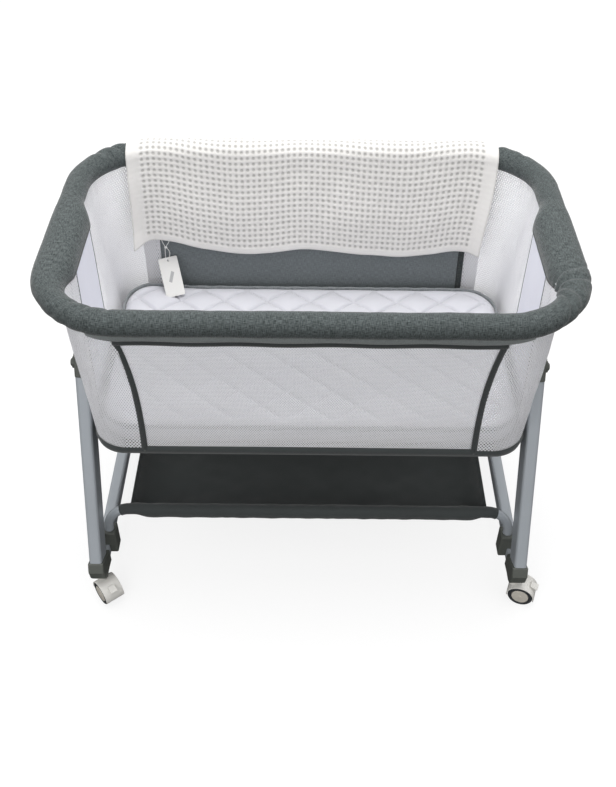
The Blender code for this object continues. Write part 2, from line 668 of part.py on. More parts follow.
def add_collar(side, sign, leg, outer_top, outer_half, inner_half):
    """The height clamp on top of the outer tube: a collar with a skirt inside the tube, and a button."""
    half_x, half_y = (half + COLLAR_GROWTH for half in outer_half)
    low, high = outer_top + GAP, outer_top + GAP + COLLAR_LENGTH
    collar = prism(
        f"collar_{side}", rounded_rectangle(half_x, half_y, 0.007, 3), low, high,
        leg, "grey_plastic", 0.0015,
    )
    skirt_x, skirt_y = (half - LEG_WALL - SLIDE_GAP for half in outer_half)
    skirt = prism(
        f"collar_skirt_{side}", rounded_rectangle(skirt_x, skirt_y, 0.004, 3),
        low - COLLAR_SKIRT, low + OVERLAP, leg,
    )
    combine(collar, skirt, "UNION")
    middle = (low + high) / 2
    boss_ends = sorted((sign * (half_x - OVERLAP), sign * (half_x + BOSS_HEIGHT)))
    boss = cylinder(
        f"button_boss_{side}", BOSS_DIAMETER / 2, *boss_ends, (0, middle), "X", leg, None, 0.0, 20
    )
    combine(collar, boss, "UNION")
    opening_x, opening_y = (half + SLIDE_GAP for half in inner_half)
    opening = prism(
        f"collar_opening_{side}", rounded_rectangle(opening_x, opening_y, 0.005, 3),
        low - COLLAR_SKIRT - 0.01, high + 0.01, leg,
    )
    combine(collar, opening, "DIFFERENCE")
    pocket_floor = half_x + BOSS_HEIGHT - BUTTON_LENGTH - GAP
    pocket_ends = sorted((sign * pocket_floor, sign * (half_x + BOSS_HEIGHT + 0.01)))
    pocket = cylinder(
        f"button_pocket_{side}", BUTTON_DIAMETER / 2 + SLIDE_GAP, *pocket_ends, (0, middle), "X", leg
    )
    combine(collar, pocket, "DIFFERENCE")
    inner_end = pocket_floor + GAP + BUTTON_TRAVEL
    button_ends = sorted((0, sign * BUTTON_LENGTH))
    button_axis = add_empty(f"button_axis_{side}", (sign * inner_end, 0, middle), parent=leg)
    cylinder(
        f"height_button_{side}", BUTTON_DIAMETER / 2, *button_ends, (0, 0), "X",
        button_axis, "grey_plastic", 0.001,
    )


def foot_outline():
    """Side view, in Y and Z, of the elbow between the leg and the base bar."""
    along = Vector((math.sin(LEG_LEAN), math.cos(LEG_LEAN)))
    across = Vector((math.cos(LEG_LEAN), -math.sin(LEG_LEAN)))
    end = Vector((HUB_Y, HUB_HEIGHT)) - along * (LEG_LENGTH + GAP)
    front, back = end - across * LEG_WIDTH / 2, end + across * LEG_WIDTH / 2
    bar_top = BAR_BOTTOM + BAR_HEIGHT
    return [
        tuple(back),
        tuple(front),
        tuple(front - along * 0.022),
        (front.x - 0.004, FOOT_BOTTOM + 0.016),
        (front.x + 0.004, FOOT_BOTTOM + 0.004),
        (front.x + 0.012, FOOT_BOTTOM),
        (STEM_Y + STEM_DIAMETER, FOOT_BOTTOM),
        (BAR_FRONT_Y - GAP, BAR_BOTTOM - 0.001),
        (BAR_FRONT_Y - GAP, bar_top + 0.002),
    ]


def add_stand_side(side, sign):
    """The foot elbow, the base bar, the rear foot with its glide, and the basket's two sockets."""
    frame = add_empty(f"stand_side_{side}", (sign * LEG_X, 0, 0))
    half = FOOT_WIDTH / 2
    foot = prism(f"front_foot_{side}", foot_outline(), -half, half, frame, "grey_plastic", 0.003, "X")
    leg = add_empty(f"foot_plug_axis_{side}", (0, HUB_Y, HUB_HEIGHT), (-LEG_LEAN, 0, 0), frame)
    inset = LEG_WALL + SLIDE_GAP
    leg_plug = prism(
        f"leg_plug_{side}",
        rounded_rectangle(LEG_THICKNESS / 2 - inset, LEG_WIDTH / 2 - inset, 0.004, 3),
        -LEG_LENGTH - PLUG_ROOT, -LEG_LENGTH + PLUG_LENGTH, leg,
    )
    combine(foot, leg_plug, "UNION")
    bar_half_x, bar_half_z = LEG_THICKNESS / 2, BAR_HEIGHT / 2
    bar_middle = BAR_BOTTOM + bar_half_z
    inset = BAR_WALL + SLIDE_GAP
    plug_section = rounded_rectangle(bar_half_x - inset, bar_half_z - inset, 0.003, 3)
    plug_outline = [(x, z + bar_middle) for x, z in plug_section]
    bar_plug = prism(
        f"bar_plug_{side}", plug_outline, BAR_FRONT_Y - PLUG_ROOT, BAR_FRONT_Y + PLUG_LENGTH,
        frame, axis="Y",
    )
    combine(foot, bar_plug, "UNION")
    stem_bore = cylinder(
        f"stem_bore_{side}", STEM_DIAMETER / 2 + SLIDE_GAP, FOOT_BOTTOM - 0.01,
        FOOT_BOTTOM + STEM_LENGTH + SLIDE_GAP, (0, STEM_Y), "Z", frame,
    )
    combine(foot, stem_bore, "DIFFERENCE")

    outline = rounded_rectangle(bar_half_x, bar_half_z, 0.005, 3)
    rows = [[(x, y, z + bar_middle) for x, z in outline] for y in (BAR_BACK_Y, BAR_FRONT_Y)]
    wall_between(f"base_bar_{side}", rows[0], rows[1], BAR_WALL, frame, "light_tube", closed=True)

    bar_top = BAR_BOTTOM + BAR_HEIGHT
    start, end = BAR_BACK_Y + GAP, BAR_BACK_Y + REAR_FOOT_LENGTH
    glide_top = GLIDE_THICKNESS
    rear_outline = [
        (start, BAR_BOTTOM - 0.001),
        (start + 0.008, BAR_BOTTOM - 0.004),
        (start + 0.012, glide_top + GAP),
        (end - 0.003, glide_top + GAP),
        (end, glide_top + 0.005),
        (end, bar_top - 0.012),
        (end - 0.004, bar_top - 0.003),
        (end - 0.012, bar_top + 0.001),
        (start, bar_top + 0.001),
    ]
    rear = prism(f"rear_foot_{side}", rear_outline, -half, half, frame, "grey_plastic", 0.002, "X")
    rear_plug = prism(
        f"rear_plug_{side}", plug_outline, BAR_BACK_Y - PLUG_LENGTH, BAR_BACK_Y + PLUG_ROOT, frame, axis="Y"
    )
    combine(rear, rear_plug, "UNION")
    glide = rectangle(-half + 0.001, start + 0.013, half - 0.001, end - 0.004)
    prism(f"rear_glide_{side}", glide, 0, glide_top, frame, "rubber")

    for place, way in (("front", -1), ("rear", 1)):
        add_socket(f"basket_socket_{place}_{side}", sign, way, frame)


def add_socket(name, sign, way, frame):
    """A bracket that straddles the base bar and holds one end of a basket tube."""
    middle = way * BASKET_TUBE_Y
    outer = sign * (LEG_THICKNESS / 2 + SOCKET_SIDE_WALL + GAP)
    inner = -sign * SOCKET_REACH
    low, high = sorted((outer, inner))
    outline = rectangle(low, SOCKET_BOTTOM, high, SOCKET_TOP)
    start, end = middle - SOCKET_LENGTH / 2, middle + SOCKET_LENGTH / 2
    socket = prism(name, outline, start, end, frame, "grey_plastic", 0.003, "Y")
    half = LEG_THICKNESS / 2 + GAP
    slot_outline = rectangle(-half, SOCKET_BOTTOM - 0.02, half, BAR_BOTTOM + BAR_HEIGHT + GAP)
    slot = prism(f"{name}_slot", slot_outline, start - 0.01, end + 0.01, frame, axis="Y")
    combine(socket, slot, "DIFFERENCE")
    tube_place = (sign * (BASKET_TUBE_X - LEG_X), middle)
    hole = cylinder(
        f"{name}_hole", BASKET_TUBE_DIAMETER / 2 + GAP * 2, SOCKET_TOP - SOCKET_DEPTH, SOCKET_TOP + 0.01,
        tube_place, "Z", frame,
    )
    combine(socket, hole, "DIFFERENCE")


def add_basket():
    """Two bent tubes in the sockets, and the fabric basket that hangs from them."""
    bend = BASKET_BEND_RADIUS
    rise = BASKET_RAIL_HEIGHT - bend
    for place, way in (("front", -1), ("rear", 1)):
        right = [(BASKET_TUBE_X, way * BASKET_TUBE_Y, SOCKET_TOP - SOCKET_DEPTH + GAP)]
        steps = 6
        for step in range(steps + 1):
            angle = math.radians(90) * step / steps
            share = math.sin(angle)
            x = BASKET_TUBE_X - bend + bend * math.cos(angle)
            y = BASKET_TUBE_Y + (BASKET_RAIL_Y - BASKET_TUBE_Y) * share
            right.append((x, way * y, rise + bend * share))
        left = [(-x, y, z) for x, y, z in reversed(right)]
        bent_tube(
            f"basket_tube_{place}", [*right, *left], BASKET_TUBE_DIAMETER, BASKET_TUBE_WALL,
            None, "light_tube",
        )
    top = BASKET_RAIL_HEIGHT - BASKET_TUBE_DIAMETER / 2 - GAP
    bottom = top - BASKET_DEPTH
    outer = rounded_rectangle(BASKET_LENGTH / 2, BASKET_WIDTH / 2, BASKET_CORNER_RADIUS, 3)
    basket = prism("storage_basket", outer, bottom, top, None, "dark_fabric")
    inner_x, inner_y, inner_radius = (
        size - BASKET_WALL for size in (BASKET_LENGTH / 2, BASKET_WIDTH / 2, BASKET_CORNER_RADIUS)
    )
    inner = rounded_rectangle(inner_x, inner_y, inner_radius, 3)
    hollow = prism("basket_hollow", inner, bottom + BASKET_WALL, top + 0.01)
    combine(basket, hollow, "DIFFERENCE")


def hood_outline(inner, outer, steps):
    """Outline of a ring's upper part, down to a little below its middle on both sides."""
    start, end = -HOOD_SKIRT, math.pi + HOOD_SKIRT
    angles = [start + (end - start) * step / steps for step in range(steps + 1)]
    outside = [(outer * math.cos(angle), outer * math.sin(angle)) for angle in angles]
    inside = [(inner * math.cos(angle), inner * math.sin(angle)) for angle in reversed(angles)]
    return [*outside, *inside]


def add_caster(side, sign):
    """A hooded caster with two wheels on one axle and a brake lever. Local +X is the way it trails."""
    swivel = add_empty(f"swivel_axis_{side}", (sign * LEG_X, STEM_Y, 0), (0, 0, CASTER_TURN[side]))
    axle = add_empty(f"wheel_axis_{side}", (CASTER_TRAIL, 0, WHEEL_DIAMETER / 2), parent=swivel)
    wheel_radius = WHEEL_DIAMETER / 2
    inner = wheel_radius + HOOD_CLEARANCE
    outer = inner + HOOD_WALL
    half = HOOD_WIDTH / 2
    steps = 14
    hood = prism(
        f"caster_hood_{side}", hood_outline(inner, outer, steps), -half, half,
        axle, "light_plastic", 0.0, "Y",
    )
    web_outline = []
    for step in range(2 * (steps + 1)):
        lower = step > steps
        angle = math.pi * (step - lower) / steps
        radius = wheel_radius * 0.6 if lower else inner + OVERLAP / 2
        web_outline.append((radius * math.cos(angle), radius * math.sin(angle)))
    web = prism(f"caster_web_{side}", web_outline, -WEB_THICKNESS / 2, WEB_THICKNESS / 2, axle, axis="Y")
    combine(hood, web, "UNION")
    boss_top = FOOT_BOTTOM - SLIDE_GAP - wheel_radius
    boss_low = wheel_radius - OVERLAP
    boss = cylinder(
        f"stem_boss_{side}", STEM_BOSS_DIAMETER / 2, boss_low, boss_top, (-CASTER_TRAIL, 0), "Z", axle
    )
    combine(hood, boss, "UNION")
    stem_top = boss_top + STEM_LENGTH
    stem = cylinder(
        f"caster_stem_{side}", STEM_DIAMETER / 2, wheel_radius, stem_top, (-CASTER_TRAIL, 0), "Z", axle
    )
    combine(hood, stem, "UNION")
    axle_radius = AXLE_DIAMETER / 2
    bore = cylinder(f"web_bore_{side}", axle_radius + SLIDE_GAP, -half, half, (0, 0), "Y", axle)
    combine(hood, bore, "DIFFERENCE")

    wheel_inner = half - WHEEL_WIDTH - GAP
    for place, way in (("outer", -1), ("inner", 1)):
        ends = sorted((way * wheel_inner, way * (wheel_inner + WHEEL_WIDTH)))
        wheel = cylinder(
            f"caster_wheel_{side}_{place}", wheel_radius, *ends, (0, 0), "Y",
            axle, "light_plastic", WHEEL_BEVEL, 28,
        )
        bore_ends = sorted((way * (wheel_inner - 0.01), way * (wheel_inner + AXLE_BORE_DEPTH)))
        wheel_bore = cylinder(
            f"wheel_bore_{side}_{place}", axle_radius + GAP, *bore_ends, (0, 0), "Y", axle
        )
        combine(wheel, wheel_bore, "DIFFERENCE")
    axle_half = wheel_inner + AXLE_BORE_DEPTH - GAP
    cylinder(f"caster_axle_{side}", axle_radius, -axle_half, axle_half, (0, 0), "Y", axle, "dark_steel")

    reach = outer + SLIDE_GAP
    hinge = (reach * math.cos(LEVER_PLACE), 0, reach * math.sin(LEVER_PLACE))
    lever_turn = math.pi / 2 - LEVER_PLACE - LEVER_LIFT
    lever_axis = add_empty(f"brake_axis_{side}", hinge, (0, lever_turn, 0), axle)
    lever_outline = rectangle(-LEVER_HEEL, GAP, LEVER_LENGTH, LEVER_THICKNESS + GAP)
    prism(
        f"brake_lever_{side}", lever_outline, -LEVER_WIDTH / 2, LEVER_WIDTH / 2,
        lever_axis, "light_plastic", 0.0008, "Y",
    )


def main():
    """Builds the whole object."""
    clear_scene()
    add_rim()
    half_width, panel_top = add_shell()
    add_front_panel(half_width, panel_top)
    add_base()
    add_blanket()
    add_tag()
    for side, sign in SIDE_SIGNS.items():
        fold_axis = add_empty(f"fold_axis_{side}", (sign * LEG_X, HUB_Y, HUB_HEIGHT))
        add_hubs(side, sign, fold_axis)
        add_leg(side, sign)
        add_stand_side(side, sign)
        add_caster(side, sign)
    add_basket()
    bpy.context.view_layer.update()


main()
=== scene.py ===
"""Looks of the bassinet on its stand: padded rim, mesh shell, mattress, blanket, basket and frame."""

import json
import math

import bpy
import numpy as np
from mathutils import Euler, Matrix, Vector, noise


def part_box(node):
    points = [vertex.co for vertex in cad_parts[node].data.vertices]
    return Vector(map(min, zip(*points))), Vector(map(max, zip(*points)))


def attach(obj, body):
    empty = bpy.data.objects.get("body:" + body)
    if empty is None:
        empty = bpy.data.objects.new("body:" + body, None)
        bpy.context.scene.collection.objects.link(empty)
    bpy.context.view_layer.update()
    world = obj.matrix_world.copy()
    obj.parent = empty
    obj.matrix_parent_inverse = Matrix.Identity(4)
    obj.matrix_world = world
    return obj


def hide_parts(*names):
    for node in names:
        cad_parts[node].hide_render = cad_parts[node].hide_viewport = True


bl_info = {
    "name": "Bassinet on Stand",
    "version": (1, 0, 0),
    "blender": (4, 5, 0),
    "location": "View3D > Sidebar > Bassinet",
    "description": "Soft goods, finishes and stage for a bassinet on a rolling stand",
    "category": "Add Mesh",
}

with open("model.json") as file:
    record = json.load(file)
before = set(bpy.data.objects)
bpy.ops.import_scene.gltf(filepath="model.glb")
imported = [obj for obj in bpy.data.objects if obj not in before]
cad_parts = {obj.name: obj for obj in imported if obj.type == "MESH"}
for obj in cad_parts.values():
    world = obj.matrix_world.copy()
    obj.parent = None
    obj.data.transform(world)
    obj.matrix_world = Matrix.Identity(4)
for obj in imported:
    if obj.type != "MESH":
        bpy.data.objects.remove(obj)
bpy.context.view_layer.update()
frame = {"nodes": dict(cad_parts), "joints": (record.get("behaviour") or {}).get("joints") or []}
JOINTS = {joint["name"]: joint for joint in frame["joints"]}
SIDES = {"left": -1, "right": 1}


def middle(node):
    """Middle of a frame part's box."""
    low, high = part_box(node)
    return (low + high) / 2


# Places read from the frame
RIM_LOW, RIM_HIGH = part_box("rim_pad_front")
RIM_Z = (RIM_LOW.z + RIM_HIGH.z) / 2
PAD_RADIUS = (RIM_HIGH.z - RIM_LOW.z) / 2
RIM_HALF_X = RIM_HIGH.x - PAD_RADIUS
RIM_HALF_Y = -RIM_LOW.y - PAD_RADIUS
RIM_CORNER = 0.135
BASE_LOW, BASE_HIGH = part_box("base_binding")
BASE_HALF_X = BASE_HIGH.x
BASE_HALF_Y = BASE_HIGH.y
BASE_CORNER = 0.062
MATTRESS_CORNER = 0.071
PANEL_LOW, PANEL_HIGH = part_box("front_mesh_panel")
COVER_LOW, COVER_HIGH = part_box("hub_cover_right")
MATTRESS_LOW, MATTRESS_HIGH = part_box("mattress")
BLANKET_LOW, BLANKET_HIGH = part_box("blanket")
RAIL_LOW, RAIL_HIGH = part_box("basket_tube_front")
RAIL_RADIUS = 0.0095
BASKET_LOW, BASKET_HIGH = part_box("storage_basket")

# The shell's walls run up inside the rim's sleeve and down behind the covered edge of the base.
WALL_TOP = RIM_Z
WALL_BOTTOM = BASE_HIGH.z - 0.004
WALL_INSET = 0.010  # from the rim's middle line in to the long walls
END_INSET = 0.012  # from the rim's middle line in to the end walls and corners

STRING_DIAMETER = 0.0014
TAG_TURN = math.radians(-14)  # the tag hangs turned in its own plane
RAISED_CORNER = 0.013  # the mattress's rear left corner stands up by this
RAISED_REACH = 0.075
SHARP_EDGE = math.radians(40)
HOOD_SHARP_EDGE = math.radians(50)

# The tag's string, from the blanket's hem through the bead and the tag's hole and back
STRING_POINTS = [
    (-0.3085, 0.2195, 0.5350),
    (-0.3082, 0.2208, 0.5300),
    (-0.3065, 0.2218, 0.5240),
    (-0.3046, 0.2225, 0.5185),
    (-0.3040, 0.2228, 0.5140),
    (-0.3043, 0.2231, 0.5080),
    (-0.3048, 0.2234, 0.5010),
    (-0.3050, 0.2235, 0.4945),
    (-0.3049, 0.2228, 0.4885),
    (-0.3047, 0.2199, 0.4856),
    (-0.3036, 0.2178, 0.4838),
    (-0.3015, 0.2168, 0.4829),
    (-0.2994, 0.2178, 0.4838),
    (-0.2983, 0.2199, 0.4856),
    (-0.2975, 0.2228, 0.4885),
    (-0.2960, 0.2238, 0.4950),
    (-0.2955, 0.2236, 0.5010),
    (-0.2975, 0.2232, 0.5075),
    (-0.3008, 0.2229, 0.5135),
    (-0.3000, 0.2225, 0.5190),
    (-0.2965, 0.2218, 0.5245),
    (-0.2940, 0.2208, 0.5300),
    (-0.2937, 0.2195, 0.5350),
]

# Folds gathered in the rim's sleeve: metres round the rim, slant, depth, half-width,
# and how far round the section each one reaches
RIM_FOLDS = [
    (0.292, 0.010, 0.0042, 0.0048, 1.9),
    (0.326, 0.006, 0.0018, 0.0060, 1.7),
    (0.230, -0.012, 0.0012, 0.0070, 2.2),
    (0.978, -0.016, 0.0026, 0.0050, 1.8),
    (1.004, -0.018, 0.0030, 0.0052, 1.9),
    (1.034, -0.014, 0.0032, 0.0050, 2.0),
    (1.066, -0.012, 0.0020, 0.0060, 2.1),
    (1.560, 0.010, 0.0014, 0.0050, 2.2),
    (1.590, 0.012, 0.0018, 0.0050, 2.3),
    (1.622, 0.012, 0.0016, 0.0048, 2.3),
    (2.372, 0.014, 0.0034, 0.0042, 1.6),
    (2.398, 0.010, 0.0020, 0.0050, 2.2),
    (2.434, -0.012, 0.0046, 0.0050, 2.2),
    (2.462, -0.018, 0.0034, 0.0044, 2.5),
]

# Height of the blanket's front hem along the rail
HEM_LINE = [
    (-0.362, 0.531),
    (-0.335, 0.537),
    (-0.290, 0.536),
    (-0.215, 0.518),
    (-0.150, 0.507),
    (-0.085, 0.511),
    (-0.020, 0.519),
    (0.040, 0.517),
    (0.120, 0.507),
    (0.190, 0.502),
    (0.250, 0.511),
    (0.300, 0.519),
    (0.362, 0.517),
]


def linear(code):
    """Linear colour of an sRGB hex value."""
    values = [int(code[place : place + 2], 16) / 255 for place in (0, 2, 4)]
    return [value / 12.92 if value <= 0.04045 else ((value + 0.055) / 1.055) ** 2.4 for value in values]


class BassinetSizes(bpy.types.PropertyGroup):
    """Sizes of the soft goods."""

    cloth: bpy.props.FloatProperty(
        name="Wall cloth", description="Thickness of the mesh and linen walls", default=0.0008,
        unit="LENGTH",
    )
    blanket_cloth: bpy.props.FloatProperty(
        name="Blanket", description="Thickness of the waffle blanket", default=0.0022, unit="LENGTH"
    )
    cell_across: bpy.props.FloatProperty(
        name="Waffle cell across", description="Width of one waffle cell", default=0.0115, unit="LENGTH"
    )
    cell_down: bpy.props.FloatProperty(
        name="Waffle cell down", description="Height of one waffle cell", default=0.0115, unit="LENGTH"
    )
    cell_depth: bpy.props.FloatProperty(
        name="Waffle depth", description="How deep each waffle cell is", default=0.0016, unit="LENGTH"
    )
    quilt: bpy.props.FloatProperty(
        name="Quilting", description="Distance between the mattress's quilting lines", default=0.090,
        unit="LENGTH",
    )
    zip_width: bpy.props.FloatProperty(
        name="Zip", description="Width of the covered zip", default=0.0105, unit="LENGTH"
    )
    strap_front: bpy.props.FloatProperty(
        name="End strip, front", description="Front edge of the solid strip in the end walls",
        default=-0.120, unit="LENGTH",
    )
    strap_rear: bpy.props.FloatProperty(
        name="End strip, rear", description="Rear edge of the solid strip in the end walls", default=0.030,
        unit="LENGTH",
    )


def colour_property(name, description, code):
    """A colour that a user may change, from its sRGB hex value."""
    return bpy.props.FloatVectorProperty(
        name=name, description=description, subtype="COLOR", size=3, min=0, max=1, default=linear(code)
    )


class BassinetColours(bpy.types.PropertyGroup):
    """Colours of the cloth and the frame."""

    linen: colour_property("Linen", "Light yarn of the rim and back panel", "626969")
    linen_dark: colour_property("Linen, dark yarn", "Dark yarn of the rim and back panel", "2c3131")
    net: colour_property("Mesh", "White mesh of the walls", "f7f7fa")
    strip: colour_property("End strip", "Solid strip in the end walls", "e4e5f0")
    charcoal: colour_property("Charcoal cloth", "Basket and edging", "3c4141")
    quilt: colour_property("Mattress", "Quilted knit", "cfcfd5")
    waffle: colour_property("Blanket", "Waffle cotton", "e4e2df")
    coat: colour_property("Tubes", "Powder coat", "b4bac0")
    plastic: colour_property("Grey plastic", "Brackets, feet and collars", "5d605b")
    ivory: colour_property("Casters", "Hoods and discs", "e6e4df")


# A wave texture at this scale has one band for each unit of its coordinates.
ONE_BAND = 0.314


def add(tree, kind, inputs=None, **settings):
    """A node with its settings, its inputs set to values or linked from other nodes' sockets."""
    node = tree.nodes.new(kind)
    for name, value in settings.items():
        setattr(node, name, value)
    for name, value in (inputs or {}).items():
        if isinstance(value, bpy.types.NodeSocket):
            tree.links.new(value, node.inputs[name])
        else:
            node.inputs[name].default_value = value
    return node


def new_material(name, **sockets):
    """A material with its Principled shader, whose sockets take plain values."""
    material = bpy.data.materials.new(name)
    material.use_nodes = True
    tree = material.node_tree
    shader = tree.nodes["Principled BSDF"]
    for label, value in sockets.items():
        shader.inputs[label.replace("_", " ").title().replace("Ior", "IOR")].default_value = value
    return material, tree, shader


def rgba(colour, factor=1.0):
    """The colour, made lighter or darker by a factor, with its alpha."""
    return (*[min(1, value * factor) for value in colour], 1)


def bump_into(tree, shader, height, depth, strength=1.0):
    """Raises the shader's surface by a height texture, depth in metres at full strength."""
    bump = add(tree, "ShaderNodeBump", {"Height": height, "Distance": depth, "Strength": strength})
    tree.links.new(bump.outputs["Normal"], shader.inputs["Normal"])
    return bump


def cloth_map(tree, across, along):
    """The piece's own cloth coordinates, in metres, divided by a size across and along."""
    source = add(tree, "ShaderNodeUVMap", uv_map="Cloth")
    inputs = {"Vector": source.outputs["UV"], "Scale": (1 / across, 1 / along, 1)}
    return add(tree, "ShaderNodeMapping", inputs).outputs["Vector"]


def clouded(tree, place, scale, detail, first, second):
    """A slow change between two colours, as uneven dye or coating gives: its noise node and its colour."""
    cloud = add(tree, "ShaderNodeTexNoise", {"Vector": place, "Scale": scale, "Detail": detail})
    shade = add(tree, "ShaderNodeMix", {
        "Factor": cloud.outputs[0], 6: first, 7: second,
    }, data_type="RGBA")
    return cloud, shade.outputs[2]


def linen(name="linen_melange", light=None, dark=None):
    """Plain-woven melange linen look: streaks of light and dark yarn both ways, and a soft sheen."""
    colours = bpy.context.scene.bassinet_colours
    light, dark = light or colours.linen, dark or colours.linen_dark
    material, tree, shader = new_material(
        name, roughness=0.92, sheen_weight=0.35, sheen_roughness=0.30, specular_ior_level=0.25
    )
    # Yarn flecks are about 9 mm long and 1 mm wide.
    flecks = []
    for across, along in ((0.009, 0.0011), (0.0011, 0.009)):
        place = cloth_map(tree, across, along)
        fleck = add(tree, "ShaderNodeTexNoise", {"Vector": place, "Scale": 1.0, "Detail": 3.0})
        flecks.append(fleck.outputs[0])
    both = add(tree, "ShaderNodeMath", {0: flecks[0], 1: flecks[1]}, operation="ADD").outputs[0]
    mean = add(tree, "ShaderNodeMath", {0: both, 1: 0.5}, operation="MULTIPLY").outputs[0]
    ramp = add(tree, "ShaderNodeValToRGB", {"Fac": mean})
    ramp.color_ramp.elements[0].position = 0.38
    ramp.color_ramp.elements[0].color = rgba(dark)
    ramp.color_ramp.elements[1].position = 0.62
    ramp.color_ramp.elements[1].color = rgba(light)
    tree.links.new(ramp.outputs["Color"], shader.inputs["Base Color"])
    # The real thread is about 0.5 mm; it is drawn 1.3 mm wide so that it shows.
    threads = []
    for direction in ("X", "Y"):
        threads.append(add(tree, "ShaderNodeTexWave", {
            "Vector": cloth_map(tree, 0.0013, 0.0013), "Scale": ONE_BAND, "Distortion": 0.6, "Detail": 1.0,
        }, bands_direction=direction).outputs["Fac"])
    weave = add(tree, "ShaderNodeMath", {0: threads[0], 1: threads[1]}, operation="MULTIPLY").outputs[0]
    bump_into(tree, shader, weave, 0.0004, 0.6)
    return material


def charcoal_cloth(name="charcoal_oxford", factor=1.0):
    """Oxford polyester, plain woven and dark, with a dull shine along the threads."""
    colours = bpy.context.scene.bassinet_colours
    material, tree, shader = new_material(name, roughness=0.8, sheen_weight=0.25, sheen_roughness=0.5)
    place = cloth_map(tree, 0.0016, 0.0016)
    checks = add(tree, "ShaderNodeTexChecker", {
        "Vector": place, "Scale": 1.0, "Color1": rgba(colours.charcoal, 1.25 * factor),
        "Color2": rgba(colours.charcoal, 0.8 * factor),
    })
    worn = rgba(colours.charcoal, 0.75 * factor)
    shade = clouded(tree, cloth_map(tree, 0.05, 0.05), 1.0, 5.0, checks.outputs["Color"], worn)[1]
    tree.links.new(shade, shader.inputs["Base Color"])
    bump_into(tree, shader, checks.outputs["Fac"], 0.0003, 0.5)
    return material


def net(name="warp_knit_mesh", level=0.20, pitch=0.0020, rows=0.0046, factor=1.0):
    """White warp-knit polyester mesh: rows of small round holes, each row half a step on from the last.

    Level is the height of the cosine pattern above which the cloth is open: lower opens it more."""
    colours = bpy.context.scene.bassinet_colours
    material, tree, shader = new_material(name, roughness=0.75, sheen_weight=0.2, specular_ior_level=0.3)
    shader.inputs["Base Color"].default_value = rgba(colours.net, factor)
    place = add(tree, "ShaderNodeSeparateXYZ", {"Vector": cloth_map(tree, pitch, rows)})
    waves = []
    for label in ("X", "Y"):
        turn = add(tree, "ShaderNodeMath", {0: place.outputs[label], 1: math.tau / 2}, operation="MULTIPLY")
        waves.append(add(tree, "ShaderNodeMath", {0: turn.outputs[0]}, operation="COSINE").outputs[0])
    dots = add(tree, "ShaderNodeMath", {0: waves[0], 1: waves[1]}, operation="MULTIPLY").outputs[0]
    solid = add(tree, "ShaderNodeMapRange", {
        "Value": dots, "From Min": level - 0.12, "From Max": level + 0.12, "To Min": 1.0, "To Max": 0.0,
    }, interpolation_type="SMOOTHSTEP")
    tree.links.new(solid.outputs[0], shader.inputs["Alpha"])
    bump_into(tree, shader, solid.outputs[0], 0.0004, 0.4)
    return material


def smooth_knit(name, colour, factor=1.0):
    """Close knit cloth, a soft even white with fine ribs 1.5 mm apart."""
    material, tree, shader = new_material(name, roughness=0.85, sheen_weight=0.3, sheen_roughness=0.4)
    shade = clouded(
        tree, cloth_map(tree, 0.04, 0.04), 1.0, 4.0, rgba(colour, factor), rgba(colour, 0.93 * factor)
    )[1]
    tree.links.new(shade, shader.inputs["Base Color"])
    ribs = add(tree, "ShaderNodeTexWave", {"Vector": cloth_map(tree, 0.0015, 0.0015), "Scale": ONE_BAND})
    bump_into(tree, shader, ribs.outputs["Fac"], 0.0002, 0.35)
    return material


def quilted_knit():
    """White polyester knit over wadding, with fine thread pulled in along the quilting lines."""
    colours = bpy.context.scene.bassinet_colours
    material, tree, shader = new_material(
        "quilted_knit", roughness=0.8, sheen_weight=0.35, sheen_roughness=0.4
    )
    seam = add(tree, "ShaderNodeAttribute", attribute_name="seam").outputs["Fac"]
    base = clouded(
        tree, cloth_map(tree, 0.06, 0.06), 1.0, 4.0, rgba(colours.quilt), rgba(colours.quilt, 0.95)
    )[1]
    # Along the quilting lines the knit is painted 10% darker: painted shade in the dips.
    shade = add(tree, "ShaderNodeMix", {
        "Factor": seam, 6: base, 7: rgba(colours.quilt, 0.90),
    }, data_type="RGBA")
    tree.links.new(shade.outputs[2], shader.inputs["Base Color"])
    knit = add(tree, "ShaderNodeTexWave", {"Vector": cloth_map(tree, 0.0014, 0.0014), "Scale": ONE_BAND})
    bump_into(tree, shader, knit.outputs["Fac"], 0.0002, 0.3)
    return material


